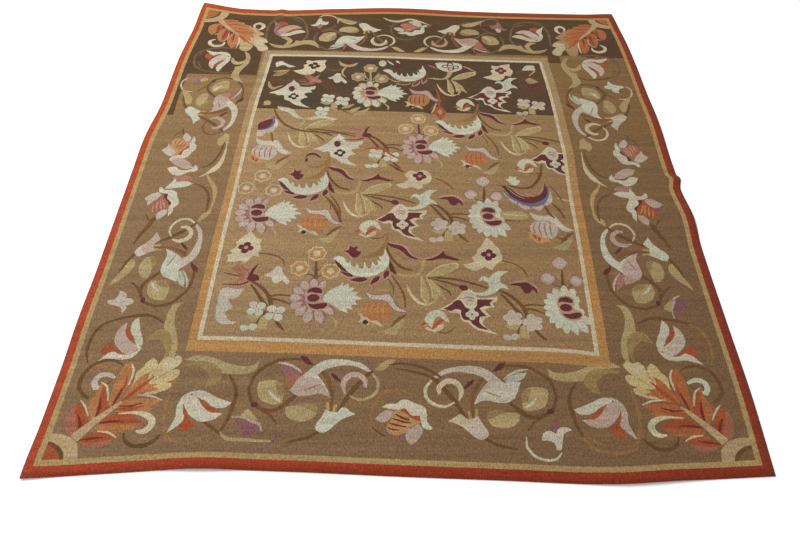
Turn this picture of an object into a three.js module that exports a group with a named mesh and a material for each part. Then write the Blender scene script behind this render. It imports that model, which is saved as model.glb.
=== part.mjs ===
// A hand-woven tapestry rug: one flat sheet of wool weft on a cotton warp, lying on a floor.
// Its sides bow out and its ends wander as an old hand-woven piece does, an old fold crosses it from the
// right, and its edges and one corner lift a little. The pattern is in the colours alone, so the sheet
// has one thickness.
// Millimetres, +Z up. X runs across the rug and Y along it, away from the near end. The origin is the
// middle of the rug's outline box, on the floor.
import * as THREE from "three";

// Driving sizes
const width = 1900;
const length = 2200;
const thickness = 3;
const gridStep = 64;

// How far each edge stands outside the plain rectangle, at places along it. The sides are read from the
// near end, and the ends from the left side.
const outline = {
  left: [
    { at: 0, out: 0 },
    { at: 300, out: 5 },
    { at: 660, out: 14 },
    { at: 960, out: 22 },
    { at: 1240, out: 27 },
    { at: 1470, out: 16 },
    { at: 1775, out: 18 },
    { at: 2000, out: 6 },
    { at: 2200, out: -5 },
  ],
  right: [
    { at: 0, out: 0 },
    { at: 230, out: 13 },
    { at: 450, out: 17 },
    { at: 780, out: 24 },
    { at: 895, out: 31 },
    { at: 1040, out: 25 },
    { at: 1088, out: 35 },
    { at: 1112, out: 28 },
    { at: 1340, out: 32 },
    { at: 1600, out: 30 },
    { at: 1830, out: 27 },
    { at: 2010, out: 18 },
    { at: 2200, out: -3 },
  ],
  near: [
    { at: 0, out: 0 },
    { at: 200, out: -13 },
    { at: 400, out: -23 },
    { at: 640, out: -17 },
    { at: 930, out: -3 },
    { at: 1190, out: 8 },
    { at: 1480, out: 20 },
    { at: 1660, out: 11 },
    { at: 1900, out: 0 },
  ],
  far: [
    { at: 0, out: -3 },
    { at: 125, out: -20 },
    { at: 360, out: -28 },
    { at: 620, out: -4 },
    { at: 900, out: 6 },
    { at: 1380, out: -3 },
    { at: 1900, out: 0 },
  ],
};

// Soft swellings of the sheet: the middle of each from the near left corner, its reach along its own
// line and across it, the angle of that line from X in degrees, and how high it lifts the cloth.
const swellings = [
  { name: "near edge, left", x: 430, y: -10, along: 190, across: 130, angle: 80, lift: 8 },
  { name: "near edge, right", x: 1560, y: -20, along: 170, across: 200, angle: 95, lift: 6 },
  { name: "near left corner", x: -10, y: 30, along: 130, across: 100, angle: 45, lift: 5 },
  { name: "left edge, low", x: -10, y: 470, along: 130, across: 170, angle: 0, lift: 5 },
  { name: "left edge, high", x: -27, y: 1290, along: 150, across: 190, angle: 5, lift: 6 },
  { name: "far left corner", x: -5, y: 2190, along: 230, across: 170, angle: 130, lift: 14 },
  { name: "far edge pucker", x: 362, y: 2175, along: 150, across: 30, angle: 90, lift: 5 },
  { name: "far edge, middle", x: 900, y: 2205, along: 160, across: 300, angle: 90, lift: 5 },
  { name: "far right corner", x: 1900, y: 2195, along: 150, across: 130, angle: 45, lift: 5 },
  { name: "right edge, high", x: 1930, y: 1420, along: 140, across: 200, angle: 0, lift: 6 },
  { name: "right edge, low", x: 1930, y: 900, along: 170, across: 150, angle: 0, lift: 8 },
  { name: "old fold, inner", x: 1500, y: 1092, along: 640, across: 34, angle: 0, lift: 2 },
  { name: "old fold, edge", x: 1930, y: 1094, along: 260, across: 30, angle: 0, lift: 6 },
];

// A smooth curve through a table's rows: between two rows it is the cubic whose slope at each row is
// that of the line joining the rows on either side.
function edgeOut(rows, at) {
  const last = rows.length - 1;
  const slope = (i) => {
    const before = rows[Math.max(i - 1, 0)];
    const after = rows[Math.min(i + 1, last)];
    return (after.out - before.out) / (after.at - before.at);
  };
  let i = 0;
  while (i < last - 1 && at > rows[i + 1].at) i++;
  const span = rows[i + 1].at - rows[i].at;
  const t = (at - rows[i].at) / span;
  const rise = t * t * (3 - 2 * t);
  return (
    rows[i].out * (1 - rise) +
    rows[i + 1].out * rise +
    slope(i) * span * t * (1 - t) ** 2 -
    slope(i + 1) * span * t * t * (1 - t)
  );
}

// Where a point of the plain rectangle lies on the real rug: the edges' wandering, fading evenly from
// each edge to the one opposite.
function asWoven(x, y) {
  const u = x / width;
  const v = y / length;
  return {
    x: x - (1 - u) * edgeOut(outline.left, y) + u * edgeOut(outline.right, y),
    y: y - (1 - v) * edgeOut(outline.near, x) + v * edgeOut(outline.far, x),
  };
}

// The underside's height above the floor: the sum of the swellings, each a bump (1 - r^2)^2 that ends
// on the floor at its own reach.
function heightAt(x, y) {
  let height = 0;
  for (const s of swellings) {
    const turn = THREE.MathUtils.degToRad(s.angle);
    const dx = x - s.x;
    const dy = y - s.y;
    const alongLine = (dx * Math.cos(turn) + dy * Math.sin(turn)) / s.along;
    const acrossLine = (dy * Math.cos(turn) - dx * Math.sin(turn)) / s.across;
    const near = Math.max(0, 1 - alongLine ** 2 - acrossLine ** 2);
    height += s.lift * near * near;
  }
  return height;
}

// Even grid lines over a side of the rectangle, with a few more beside each narrow crease across it.
function gridLines(total, creases) {
  const count = Math.round(total / gridStep);
  const even = Array.from({ length: count + 1 }, (_, i) => (total * i) / count);
  const close = creases.flatMap((c) => [-1, -0.5, 0, 0.5, 1].map((k) => c.middle + k * c.reach));
  const clear = even.filter((p) => p === 0 || p === total || close.every((c) => Math.abs(c - p) > 12));
  return [...clear, ...close].sort((a, b) => a - b);
}

// The middle of the outline's box, which becomes the origin.
function outlineMiddle(points) {
  const box = new THREE.Box2().setFromPoints(points.map((p) => new THREE.Vector2(p.x, p.y)));
  return box.getCenter(new THREE.Vector2());
}

// One closed sheet over the grid: an underside that follows the swellings, a face one thickness above
// it, and a narrow wall round the rim.
function sheetGeometry() {
  const columns = gridLines(width, [{ middle: 362, reach: 28 }]);
  const rows = gridLines(length, [{ middle: 1093, reach: 32 }]);
  const places = rows.flatMap((y) => columns.map((x) => asWoven(x, y)));
  const middle = outlineMiddle(places);
  const positions = [];
  for (const layer of [0, thickness]) {
    for (const p of places) positions.push(p.x - middle.x, p.y - middle.y, heightAt(p.x, p.y) + layer);
  }
  const faceStart = places.length;
  const at = (row, column) => row * columns.length + column;
  const triangles = [];
  const quad = (a, b, c, d) => triangles.push(a, b, c, a, c, d);
  for (let j = 0; j < rows.length - 1; j++) {
    for (let i = 0; i < columns.length - 1; i++) {
      const corners = [at(j, i), at(j, i + 1), at(j + 1, i + 1), at(j + 1, i)];
      quad(...corners.map((k) => k + faceStart));
      quad(...corners.slice().reverse());
    }
  }
  const lastColumn = columns.length - 1;
  const lastRow = rows.length - 1;
  const rim = [
    ...columns.slice(1).map((_, i) => at(0, i)),
    ...rows.slice(1).map((_, j) => at(j, lastColumn)),
    ...columns.slice(1).map((_, i) => at(lastRow, lastColumn - i)),
    ...rows.slice(1).map((_, j) => at(lastRow - j, 0)),
  ];
  rim.forEach((from, i) => {
    const to = rim[(i + 1) % rim.length];
    quad(from, to, to + faceStart, from + faceStart);
  });
  const geometry = new THREE.BufferGeometry();
  geometry.setAttribute("position", new THREE.Float32BufferAttribute(positions, 3));
  geometry.setIndex(triangles);
  geometry.computeVertexNormals();
  return geometry;
}

function wovenWool() {
  return new THREE.MeshStandardMaterial({ color: 0x8f7450, roughness: 0.95, metalness: 0 });
}

const rug = new THREE.Mesh(sheetGeometry(), wovenWool());
rug.name = "rug";

const part = new THREE.Group();
part.add(rug);

export default part;
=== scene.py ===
"""A flat-woven tapestry rug lying on a pale studio floor: one sheet of wool, its flowers and scrolls woven
in with coloured weft. Sizes are millimetres from the rug's near left corner, x across the rug and y away
from the near end, until the mesh is made; then metres, with the origin in the middle of the rug."""
import math

import bpy
import numpy as np
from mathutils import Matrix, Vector
from mathutils.geometry import delaunay_2d_cdt


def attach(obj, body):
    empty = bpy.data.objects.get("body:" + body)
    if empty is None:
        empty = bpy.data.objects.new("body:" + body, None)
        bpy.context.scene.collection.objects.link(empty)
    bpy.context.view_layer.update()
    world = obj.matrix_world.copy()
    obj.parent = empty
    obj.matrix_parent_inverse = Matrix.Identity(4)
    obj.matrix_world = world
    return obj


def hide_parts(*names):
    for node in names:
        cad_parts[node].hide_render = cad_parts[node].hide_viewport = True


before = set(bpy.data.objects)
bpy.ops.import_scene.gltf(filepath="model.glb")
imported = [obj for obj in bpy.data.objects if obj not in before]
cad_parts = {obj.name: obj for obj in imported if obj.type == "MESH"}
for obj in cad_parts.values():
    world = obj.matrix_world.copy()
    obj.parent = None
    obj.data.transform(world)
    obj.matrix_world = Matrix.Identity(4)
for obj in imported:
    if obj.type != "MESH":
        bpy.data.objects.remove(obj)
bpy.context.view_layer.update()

WIDTH = 1900.0
LENGTH = 2200.0
THICK = 3.0
RIB_SPACING = 3.0

# The steps between points: along the colours' outlines, along the rug's rim, and in the even grids that fill
# the face and the underside, which stay GRID_MARGIN short of the right and far edges.
EDGE_PITCH = 6.0
RIM_PITCH = 3.2
GRID_PITCH = 24.0
UNDER_PITCH = 20.0
GRID_MARGIN = 10

# How far the points of a woven outline stray, and how close points are made one.
STRAY = 0.6
SAME_POINT = 0.05

# An outline's point is a corner where the cosine of its turn is below this, at about 75 degrees.
SOFT_TURN = 0.25

# A length shorter than any real one, so that nothing is divided by zero.
TINY = 1e-6

rng = np.random.default_rng(1890)

# How far each edge stands outside the plain rectangle: (place along the edge, how far out).
OUTLINE = {
    "left": [(0, 0), (300, 5), (660, 14), (960, 22), (1240, 27), (1470, 16), (1775, 18), (2000, 6),
             (2200, -5)],
    "right": [(0, 0), (230, 13), (450, 17), (780, 24), (895, 31), (1040, 25), (1088, 35), (1112, 28),
              (1340, 32), (1600, 30), (1830, 27), (2010, 18), (2200, -3)],
    "near": [(0, 0), (200, -13), (400, -23), (640, -17), (930, -3), (1190, 8), (1480, 20), (1660, 11),
             (1900, 0)],
    "far": [(0, -3), (125, -20), (360, -28), (620, -4), (900, 6), (1380, -3), (1900, 0)],
}

# Soft swellings of the cloth: (middle x, y, reach along its own line, reach across it, turn, lift).
SWELLINGS = [
    (430, -10, 190, 130, 80, 8),
    (1560, -20, 170, 200, 95, 6),
    (-10, 30, 130, 100, 45, 5),
    (-10, 470, 130, 170, 0, 5),
    (-27, 1290, 150, 190, 5, 6),
    (-5, 2190, 230, 170, 130, 14),
    (362, 2175, 150, 30, 90, 5),
    (900, 2205, 160, 300, 90, 5),
    (1900, 2195, 150, 130, 45, 5),
    (1930, 1420, 140, 200, 0, 6),
    (1930, 900, 170, 150, 0, 8),
    (1500, 1092, 640, 34, 0, 2),
    (1930, 1094, 260, 30, 0, 6),
]

# The edge of the field, where the ivory line starts: (place along the side, x or y of the edge).
FIELD = {
    "left": [(380, 360), (450, 359), (800, 355), (1000, 356), (1300, 354), (1500, 356), (1650, 364),
             (1806, 370)],
    "right": [(360, 1490), (450, 1494), (800, 1506), (1000, 1510), (1100, 1514), (1225, 1522), (1300, 1520),
              (1500, 1518), (1650, 1512), (1800, 1502)],
    "near": [(350, 417), (500, 414), (700, 407), (900, 398), (1200, 387), (1400, 379), (1500, 367)],
    "far": [(360, 1806), (600, 1810), (900, 1808), (1000, 1804), (1300, 1799), (1510, 1796)],
}
NEAR_LEFT, NEAR_RIGHT = (360, 417), (1490, 368)
FAR_LEFT, FAR_RIGHT = (370, 1806), (1502, 1796)

# Dyed wool, as red, green and blue of 255 in daylight.
YARN = {
    "brick": (176, 72, 43), "straw": (180, 151, 101), "ivory": (205, 191, 158), "gold": (184, 137, 82),
    # The border's near colour holds painted shade at the near end.
    "field": (166, 135, 97), "border": (143, 113, 80), "bark": (92, 67, 35), "loam": (86, 63, 37),
    "peat": (86, 66, 43), "tan": (171, 136, 96), "hay": (198, 176, 127), "sand": (188, 160, 119),
    "mint": (197, 196, 173), "milk": (200, 192, 169), "cream": (197, 182, 148), "pearl": (192, 177, 158),
    "sea": (175, 180, 157), "lilac": (185, 161, 146), "mauve": (152, 108, 103), "violet": (137, 90, 96),
    "maroon": (101, 48, 50), "blush": (182, 149, 128), "pink": (185, 141, 121), "salmon": (163, 104, 81),
    "rose": (170, 120, 105), "peach": (191, 146, 98), "orange": (179, 119, 73), "copper": (174, 105, 60),
    "rust": (166, 84, 51), "oxblood": (120, 50, 36), "leaf": (176, 154, 108), "moss": (154, 128, 82),
    "honey": (152, 113, 68), "stem": (113, 80, 46), "taupe": (118, 92, 63), "wood": (125, 86, 53),
    "umber": (112, 68, 45), "dark": (70, 46, 36), "blue": (100, 106, 140), "slate": (78, 65, 52),
    "sepia": (96, 69, 45),
}

# The other dye lots at the far end, and the shares of the length where the change to them starts and how far
# it goes on. The border's near colour is a little darker than its far one, which is painted shade at the near
# end.
FAR_END = {
    "brick": (174, 76, 21), "straw": (188, 145, 92), "gold": (168, 143, 106), "field": (169, 139, 96),
    "border": (150, 118, 75),
}
FAR_CHANGE_START, FAR_CHANGE_SPAN = 0.33, 0.47

# Painted shade, standing in for light that falls off to the right: how much darker the wool is painted at the
# right edge than at the left, by red, green and blue, and the share of it that each ground takes and that all
# other yarns take.
RIGHT = np.array((0.36, 0.46, 0.58))
RIGHT_SHADE_SHARE = {"brick": 1.0, "field": 0.8, "border": 0.7, "straw": 0.25}
OTHERS_RIGHT_SHADE_SHARE = 0.3

# How unlike each other the shapes of one yarn are, in lightness and in each of red, green and blue.
UNEVEN_LIGHT, UNEVEN_HUE = 0.025, 0.008

# The share of a yarn's daylight colour that the shader gets, so that the pale floor can turn white.
EXPOSURE = 0.62


def edge_out(rows, at):
    """The cubic through a table's rows whose slope at each row is that of its two neighbours' line."""
    place, out = np.array(rows, float).T
    slope = np.gradient(out)
    slope[1:-1] = (out[2:] - out[:-2]) / (place[2:] - place[:-2])
    slope[0] = (out[1] - out[0]) / (place[1] - place[0])
    slope[-1] = (out[-1] - out[-2]) / (place[-1] - place[-2])
    i = np.clip(np.searchsorted(place, at) - 1, 0, len(rows) - 2)
    span = place[i + 1] - place[i]
    t = (at - place[i]) / span
    rise = t * t * (3 - 2 * t)
    lean = slope[i] * span * t * (1 - t) ** 2 - slope[i + 1] * span * t * t * (1 - t)
    return out[i] * (1 - rise) + out[i + 1] * rise + lean


def as_woven(x, y):
    """Where a point of the plain rectangle lies on the real rug, as each edge's wandering fades across it."""
    u, v = x / WIDTH, y / LENGTH
    return np.stack([
        x - (1 - u) * edge_out(OUTLINE["left"], y) + u * edge_out(OUTLINE["right"], y),
        y - (1 - v) * edge_out(OUTLINE["near"], x) + v * edge_out(OUTLINE["far"], x),
    ], axis=-1)


def lift_at(points):
    """The cloth's height above the floor: the sum of the swellings, each lift * (1 - r^2)^2 within its
    reach."""
    height = np.zeros(len(points))
    for x, y, along, across, turn, lift in SWELLINGS:
        a = math.radians(turn)
        dx, dy = (points - (x, y)).T
        r2 = ((dx * math.cos(a) + dy * math.sin(a)) / along) ** 2
        r2 += ((dy * math.cos(a) - dx * math.sin(a)) / across) ** 2
        height += lift * np.maximum(0, 1 - r2) ** 2
    return height


def rectangle(inset_left, inset_right, inset_near, inset_far, pitch):
    """The loop of a rectangle set in from each of the rug's edges, as it lies on the real rug."""
    x0, x1, y0, y1 = inset_left, WIDTH - inset_right, inset_near, LENGTH - inset_far
    nx, ny = round((x1 - x0) / pitch), round((y1 - y0) / pitch)
    xs, ys = np.linspace(x0, x1, nx + 1), np.linspace(y0, y1, ny + 1)
    x = np.concatenate([xs[:-1], np.full(ny, x1), xs[:0:-1], np.full(ny, x0)])
    y = np.concatenate([np.full(nx, y0), ys[:-1], np.full(nx, y1), ys[:0:-1]])
    return as_woven(x, y)


def field_loop(grow_left, grow_right, grow_near, grow_far):
    """The loop round the field, moved out from it by the given widths."""
    def side(name, grow, start, stop):
        at = np.linspace(start, stop, round(abs(stop - start) / EDGE_PITCH) + 1)[:-1]
        return at, edge_out(FIELD[name], at) + grow
    near = side("near", -grow_near, NEAR_LEFT[0] - grow_left, NEAR_RIGHT[0] + grow_right)
    right = side("right", grow_right, NEAR_RIGHT[1] - grow_near, FAR_RIGHT[1] + grow_far)
    far = side("far", grow_far, FAR_RIGHT[0] + grow_right, FAR_LEFT[0] - grow_left)
    left = side("left", -grow_left, FAR_LEFT[1] + grow_far, NEAR_LEFT[1] - grow_near)
    return np.concatenate([np.c_[near], np.c_[right[1], right[0]], np.c_[far], np.c_[left[1], left[0]]])


def smooth(points, closed=True):
    """A cubic curve through the points, whose direction at each is that of its neighbours' line. Where the
    outline turns sharply, the point stays a corner. A third column, a band's width, changes evenly."""
    p = np.array(points, float)
    step = np.roll(p, -1, 0) - p
    span = np.maximum(np.linalg.norm(step[:, :2], axis=1), TINY)
    out = step[:, :2] / span[:, None]
    into = np.roll(out, 1, 0)
    even = np.roll(p[:, :2], -1, 0) - np.roll(p[:, :2], 1, 0)
    even /= np.maximum(np.linalg.norm(even, axis=1), TINY)[:, None]
    soft = (out * into).sum(1) > SOFT_TURN
    if not closed:
        soft[0] = soft[-1] = False
    leave = np.where(soft[:, None], even, out)
    enter = np.roll(np.where(soft[:, None], even, into), -1, 0)
    last = len(p) if closed else len(p) - 1
    count = np.maximum(1, np.round(span[:last] / EDGE_PITCH)).astype(int)
    i = np.repeat(np.arange(last), count)
    t = np.concatenate([np.arange(n) / n for n in count])[:, None]
    j = (i + 1) % len(p)
    s = span[i][:, None]
    rise = t * t * (3 - 2 * t)
    place = p[i] * (1 - rise) + p[j] * rise
    place[:, :2] += s * (leave[i] * t * (1 - t) ** 2 - enter[i] * t * t * (1 - t))
    if p.shape[1] > 2:
        place[:, 2:] = p[i][:, 2:] * (1 - t) + p[j][:, 2:] * t
    return place if closed else np.concatenate([place, p[-1:]])


def area(yarn, *points):
    """A plain area of one yarn inside a smooth outline."""
    return [(yarn, smooth(points))]


def line(yarn, *points):
    """A band of one yarn along a curve, its width given at each point."""
    c = smooth(points, closed=False)
    ahead = np.gradient(c[:, :2], axis=0)
    ahead /= np.maximum(np.linalg.norm(ahead, axis=1), TINY)[:, None]
    half = np.stack([-ahead[:, 1], ahead[:, 0]], 1) * c[:, 2:3] / 2
    return [(yarn, np.concatenate([c[:, :2] + half, (c[:, :2] - half)[::-1]]))]


def oval(yarn, x, y, rx, ry, turn=0, lobes=0, depth=0.0):
    """An oval, its radius swelling by a share at each lobe."""
    n = max(8, round(2.2 * math.sqrt(rx * ry)))
    a = np.linspace(0, 2 * np.pi, n, endpoint=False)
    swell = 1 + depth * np.cos(lobes * a)
    px, py = rx * swell * np.cos(a), ry * swell * np.sin(a)
    c, s = math.cos(math.radians(turn)), math.sin(math.radians(turn))
    return [(yarn, np.c_[x + px * c - py * s, y + px * s + py * c])]


def petal(yarn, x, y, angle, start, stop, width):
    """A petal pointing out from (x, y): its half width is width / 2 * sin(pi * t^1.3)^0.7."""
    t = np.linspace(0, 1, 9)
    along = start + (stop - start) * t
    half = width / 2 * np.sin(np.pi * np.clip(t, 0, 1) ** 1.3).clip(0) ** 0.7
    c, s = math.cos(math.radians(angle)), math.sin(math.radians(angle))
    u = np.concatenate([along, along[-2:0:-1]])
    v = np.concatenate([half, -half[-2:0:-1]])
    return [(yarn, np.c_[x + u * c - v * s, y + u * s + v * c])]


def seeds():
    """The three dark seeds of a daisy, a dome over an oval over a shallow bowl, on one pale ground."""
    made = area("blush", (-27, 20), (-22, 38), (-8, 46), (14, 46), (28, 36), (30, 18), (24, 2), (46, -14),
                (49, -26), (38, -41), (14, -46), (-8, -39), (-20, -20), (-24, 2))
    made += area("maroon", (-22, 20), (-17, 34), (-5, 41), (12, 41), (24, 31), (25, 20), (10, 20), (-6, 24))
    made += oval("maroon", 0, 2, 19, 14)
    made += area("maroon", (-15, -19), (6, -21), (24, -17), (42, -16), (44, -26), (34, -36), (14, -40),
                 (-4, -34))
    return made


def daisy(petals="lilac", shade="mauve"):
    """A daisy seen from the front: pointed petals round an oval disc with three large seeds."""
    made = oval(shade, 0, 0, 42, 50)
    for angle, reach, width in [(66, 74, 20), (93, 76, 26), (122, 77, 28), (150, 74, 28), (178, 73, 29),
                                (206, 74, 30), (234, 78, 31), (262, 90, 30), (290, 95, 30), (318, 88, 25)]:
        made += petal(shade, 0, 0, angle + 5, 30, reach + 1, width + 3)
        made += petal(petals, 0, 0, angle, 34, reach, width - 2)
    return made + seeds()


def fan():
    """The serrated leaf that opens to the right of a daisy."""
    return (
        line("leaf", (52, -58, 3), (66, -72, 7), (76, -88, 8), (74, -108, 3))
        + area("mint", (32, 12), (53, 35), (73, 48), (88, 63), (86, 48), (106, 60), (103, 42), (125, 42),
               (114, 28), (137, 23), (126, 13), (152, 0), (126, -8), (136, -24), (115, -22), (122, -40),
               (102, -34), (108, -53), (83, -42), (66, -28), (50, -18), (32, -10))
        + area("milk", (58, 2), (90, 10), (128, 6), (138, -2), (112, -8), (80, -12))
        + line("milk", (60, 12, 2), (84, 26, 5), (102, 42, 2))
    )


def full_fan():
    """A daisy whose leaves go right round its disc, all in one pale yarn, with jagged tips."""
    made = []
    for angle, reach in [(88, 88), (66, 82), (44, 60), (112, 82), (135, 78), (156, 74), (178, 72),
                         (200, 74), (222, 78), (242, 84), (262, 94), (281, 98), (300, 104), (320, 92),
                         (340, 56)]:
        made += petal("mint", 2, 0, angle, 24, reach, 27)
        made += petal("pearl", 2, 0, angle - 9, 44, reach - 12, 5)
    return made + oval("mint", 0, 0, 42, 54) + seeds()


def pomegranate(body="orange", stripe="rust", hood="pearl", calyx="cream", under="leaf", seed="dark",
                edge="mauve"):
    """A round ribbed bud under a long pale hood, with a small calyx and a dark seed below it."""
    made = line("wood", (44, -70, 4), (56, -44, 9), (74, -28, 11), (92, -14, 4))
    made += area(under, (14, -76), (41, -64), (61, -50), (81, -30), (86, -44), (72, -68), (58, -87),
                 (38, -84))
    made += area(calyx, (-56, -12), (-44, -28), (-52, -44), (-34, -42), (-26, -53), (-8, -47), (22, -60),
                 (8, -40), (-18, -26), (-34, -14))
    made += area(body, (-34, 24), (-22, 34), (-8, 32), (6, 35), (18, 31), (30, 26), (44, 8), (44, -12),
                 (34, -28), (20, -41), (4, -36), (-12, -38), (-22, -29), (-36, -22), (-43, -2), (-41, 13))
    for x, lean in [(-24, -8), (-8, -7), (8, -5), (24, -3)]:
        made += line(stripe, (x, 28, 3), (x + lean, 2, 4.5), (x + lean * 0.3, -27, 3))
    made += area(edge, (-38, 74), (-14, 61), (18, 60), (38, 64), (52, 44), (66, 18), (98, -4), (70, -9),
                 (48, 6), (32, 26), (16, 35), (-18, 37), (-32, 52))
    made += area(hood, (-36, 70), (-14, 57), (16, 55), (34, 60), (48, 44), (62, 15), (92, -4), (70, -5),
                 (50, 8), (34, 30), (16, 39), (-16, 41), (-28, 55))
    made += oval(stripe, -18, -44, 9, 5, -20) + oval(seed, -30, -43, 8, 8)
    return made


def ring_flowers(body="gold", edge="cream", stem="stem"):
    """Three round flowers over one short stem, between two slim leaves."""
    made = line(stem, (0, 60, 14), (-1, 96, 11), (-5, 152, 6))
    made += line(stem, (-36, 94, 3), (-16, 90, 5), (0, 80, 7), (18, 90, 5), (36, 94, 3))
    made += line("leaf", (-8, 96, 3), (-24, 118, 8), (-30, 150, 3))
    made += line("leaf", (8, 96, 3), (20, 122, 8), (32, 148, 3))
    for x, y in [(-5, 177), (-53, 116), (44, 106)]:
        made += oval(edge, x, y, 29, 29, 10, 7, 0.06) + oval(body, x, y, 25, 25, 10, 7, 0.06)
        made += oval("cream", x, y, 12, 12) + oval("ivory", x, y, 8, 8)
    return made


def diamonds():
    """Three pale diamond-shaped flowers, edged with mauve, over one short stem."""
    made = line("umber", (0, 50, 12), (-1, 80, 11), (4, 148, 5))
    made += line("wood", (-34, 90, 3), (-14, 82, 6), (4, 72, 8), (20, 82, 6), (34, 90, 3))
    made += area("tan", (-22, 138), (-14, 116), (-4, 104), (-6, 130))
    made += area("tan", (36, 142), (20, 130), (12, 108), (26, 116))
    for x, y, r in [(2, 176, 29), (-46, 112, 27), (44, 104, 25)]:
        for yarn, reach in (("mauve", r), ("lilac", r - 4)):
            made += area(yarn, (x - reach, y), (x - 10, y + reach * 0.8), (x, y + reach),
                         (x + 10, y + reach * 0.8), (x + reach, y), (x + 9, y - reach * 0.8),
                         (x, y - reach), (x - 12, y - reach * 0.8))
        made += oval("pearl", x + 1, y, 13, 12)
    return made


def crescent(scallop="maroon", rim="pink"):
    """A long feathered leaf curled up like a new moon, with dark scallops under it."""
    made = line(scallop, (-104, 42, 4), (-90, 22, 14), (-74, 4, 13), (-56, -8, 3))
    made += line(scallop, (67, 48, 3), (74, 22, 12), (80, 2, 15), (92, -14, 5))
    for x, y, length, turn, width in [(-62, -17, 46, -22, 13), (-24, -38, 56, 4, 19), (26, -40, 44, 50, 18),
                                      (60, -18, 36, 72, 18)]:
        made += petal(rim, x, y - 1, turn, -length / 2 - 5, length / 2 + 3, width + 7)
        made += petal(scallop, x, y + 1, turn, -length / 2, length / 2, width)
    made += area("mint", (-112, 46), (-96, 57), (-76, 50), (-64, 26), (-54, 38), (-50, 18), (-38, 12),
                 (-34, 32), (-24, 8), (-12, 8), (-10, 34), (2, 10), (12, 12), (14, 36), (26, 20), (34, 24),
                 (30, 44), (44, 34), (36, 56), (48, 60), (54, 90), (65, 58), (69, 34), (60, 8), (38, -12),
                 (14, -23), (-16, -25), (-46, -17), (-70, 5), (-90, 30))
    made += line("milk", (-60, 12, 3), (-34, -2, 11), (-4, -6, 13), (28, 4, 11), (50, 32, 8), (54, 60, 3))
    return made


def moon():
    """The same curled leaf in dark wool with pink feathers, a blue back and pale scallops."""
    made = line("stem", (-84, 57, 4), (-44, 43, 9), (-8, 45, 11), (20, 72, 12), (40, 110, 13), (52, 168, 6))
    made += line("stem", (38, -44, 8), (48, -78, 12), (64, -100, 5))
    made += line("stem", (64, -30, 6), (84, -60, 9), (100, -102, 5))
    for points in [((-102, 28, 4), (-90, 8, 13), (-72, -10, 6)),
                   ((-84, -8, 7), (-66, -24, 17), (-46, -36, 6)),
                   ((-56, -36, 6), (-32, -52, 19), (-8, -54, 7)),
                   ((-6, -50, 6), (14, -56, 20), (34, -40, 7)), ((36, -42, 7), (58, -18, 18), (66, 26, 5))]:
        made += line("pearl", *points)
    made += line("blue", (-106, 36, 3), (-76, -6, 9), (-38, -30, 11), (4, -37, 12), (36, -22, 11),
                 (54, 14, 9), (58, 58, 3))
    for points in [((-76, -4, 7), (-92, -10, 2)), ((-50, -22, 8), (-60, -38, 2)),
                   ((-8, -36, 9), (-14, -58, 2)), ((32, -24, 8), (36, -46, 2))]:
        made += line("blue", *points)
    made += area("maroon", (-110, 57), (-86, 50), (-62, 26), (-34, 5), (-6, 0), (22, 8), (40, 30), (51, 72),
                 (55, 30), (44, -2), (22, -22), (-8, -32), (-44, -24), (-76, 2), (-96, 34))
    made += line("pink", (-66, 34, 2), (-46, 12, 6), (-14, -2, 3))
    made += line("pink", (-34, 22, 2), (-14, 8, 6), (12, 4, 3))
    made += line("pink", (2, 24, 2), (22, 18, 6), (36, 36, 5), (46, 70, 2))
    made += line("pink", (-90, 50, 2), (-60, 10, 4), (-30, -8, 2))
    return made


def half_moon():
    """The blue curled leaf that the field's left edge cuts in two."""
    made = line("stem", (422, 1456, 5), (434, 1424, 9), (450, 1394, 10), (476, 1362, 10), (520, 1335, 9),
                (580, 1322, 8), (660, 1318, 7), (762, 1298, 5))
    made += line("wood", (424, 1330, 4), (434, 1300, 8), (442, 1262, 6))
    made += line("pink", (416, 1446, 3), (420, 1412, 6), (402, 1392, 3))
    made += area("pearl", (378, 1330), (398, 1340), (410, 1322), (400, 1296), (378, 1290))
    made += area("pearl", (408, 1340), (430, 1356), (442, 1346), (438, 1324), (416, 1310))
    made += area("milk", (434, 1398), (446, 1380), (448, 1348), (440, 1342), (430, 1362))
    made += line("blue", (378, 1328, 6), (402, 1334, 8), (424, 1350, 9), (432, 1374, 9), (426, 1410, 5))
    made += area("maroon", (376, 1366), (396, 1382), (424, 1398), (426, 1366), (410, 1342), (388, 1332),
                 (376, 1332))
    return made + line("pink", (376, 1372, 4), (396, 1390, 5), (420, 1414, 4))


def star_flower(edge="ivory", body="maroon", dome="pearl", mark="milk"):
    """A flower of long uneven points, dark inside a pale edge, with a domed bud at its left."""
    made = area(edge, (-98, -8), (-60, 16), (-40, 36), (-28, 54), (-10, 71), (10, 58), (20, 40), (55, 37),
                (84, 43), (83, 25), (66, 17), (74, 2), (55, 0), (42, -10), (60, -31), (39, -41), (33, -58),
                (50, -78), (76, -96), (40, -88), (10, -76), (-10, -56), (-30, -46), (-38, -20), (-60, -21),
                (-72, -11))
    made += area(body, (-82, -5), (-60, 11), (-42, 27), (-26, 24), (-18, 4), (-6, -4), (8, -4), (18, 6),
                 (22, 31), (40, 31), (73, 30), (60, 17), (63, 6), (42, 6), (26, -4), (36, -18), (47, -31),
                 (26, -33), (24, -56), (52, -81), (20, -73), (3, -60), (-5, -47), (-22, -44), (-30, -26),
                 (-30, -10), (-46, -6), (-60, -13))
    made += area(edge, (-24, 16), (-27, 36), (-19, 58), (-6, 70), (12, 60), (20, 42), (18, 22), (10, 6),
                 (-10, 4))
    made += area(dome, (-20, 18), (-22, 34), (-15, 53), (-6, 64), (8, 56), (15, 40), (13, 22), (6, 11),
                 (-8, 9))
    made += line("mauve", (-18, 36, 3), (-2, 39, 4), (12, 34, 3))
    made += line("mauve", (-14, 25, 3), (-2, 27, 4), (10, 23, 3))
    for x, y in [(3, -14), (3, -36), (-8, -25), (14, -24)]:
        made += oval(mark, x, y, 9.5, 9.5)
    return made + oval("mauve", 3, -25, 4, 4)


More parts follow.
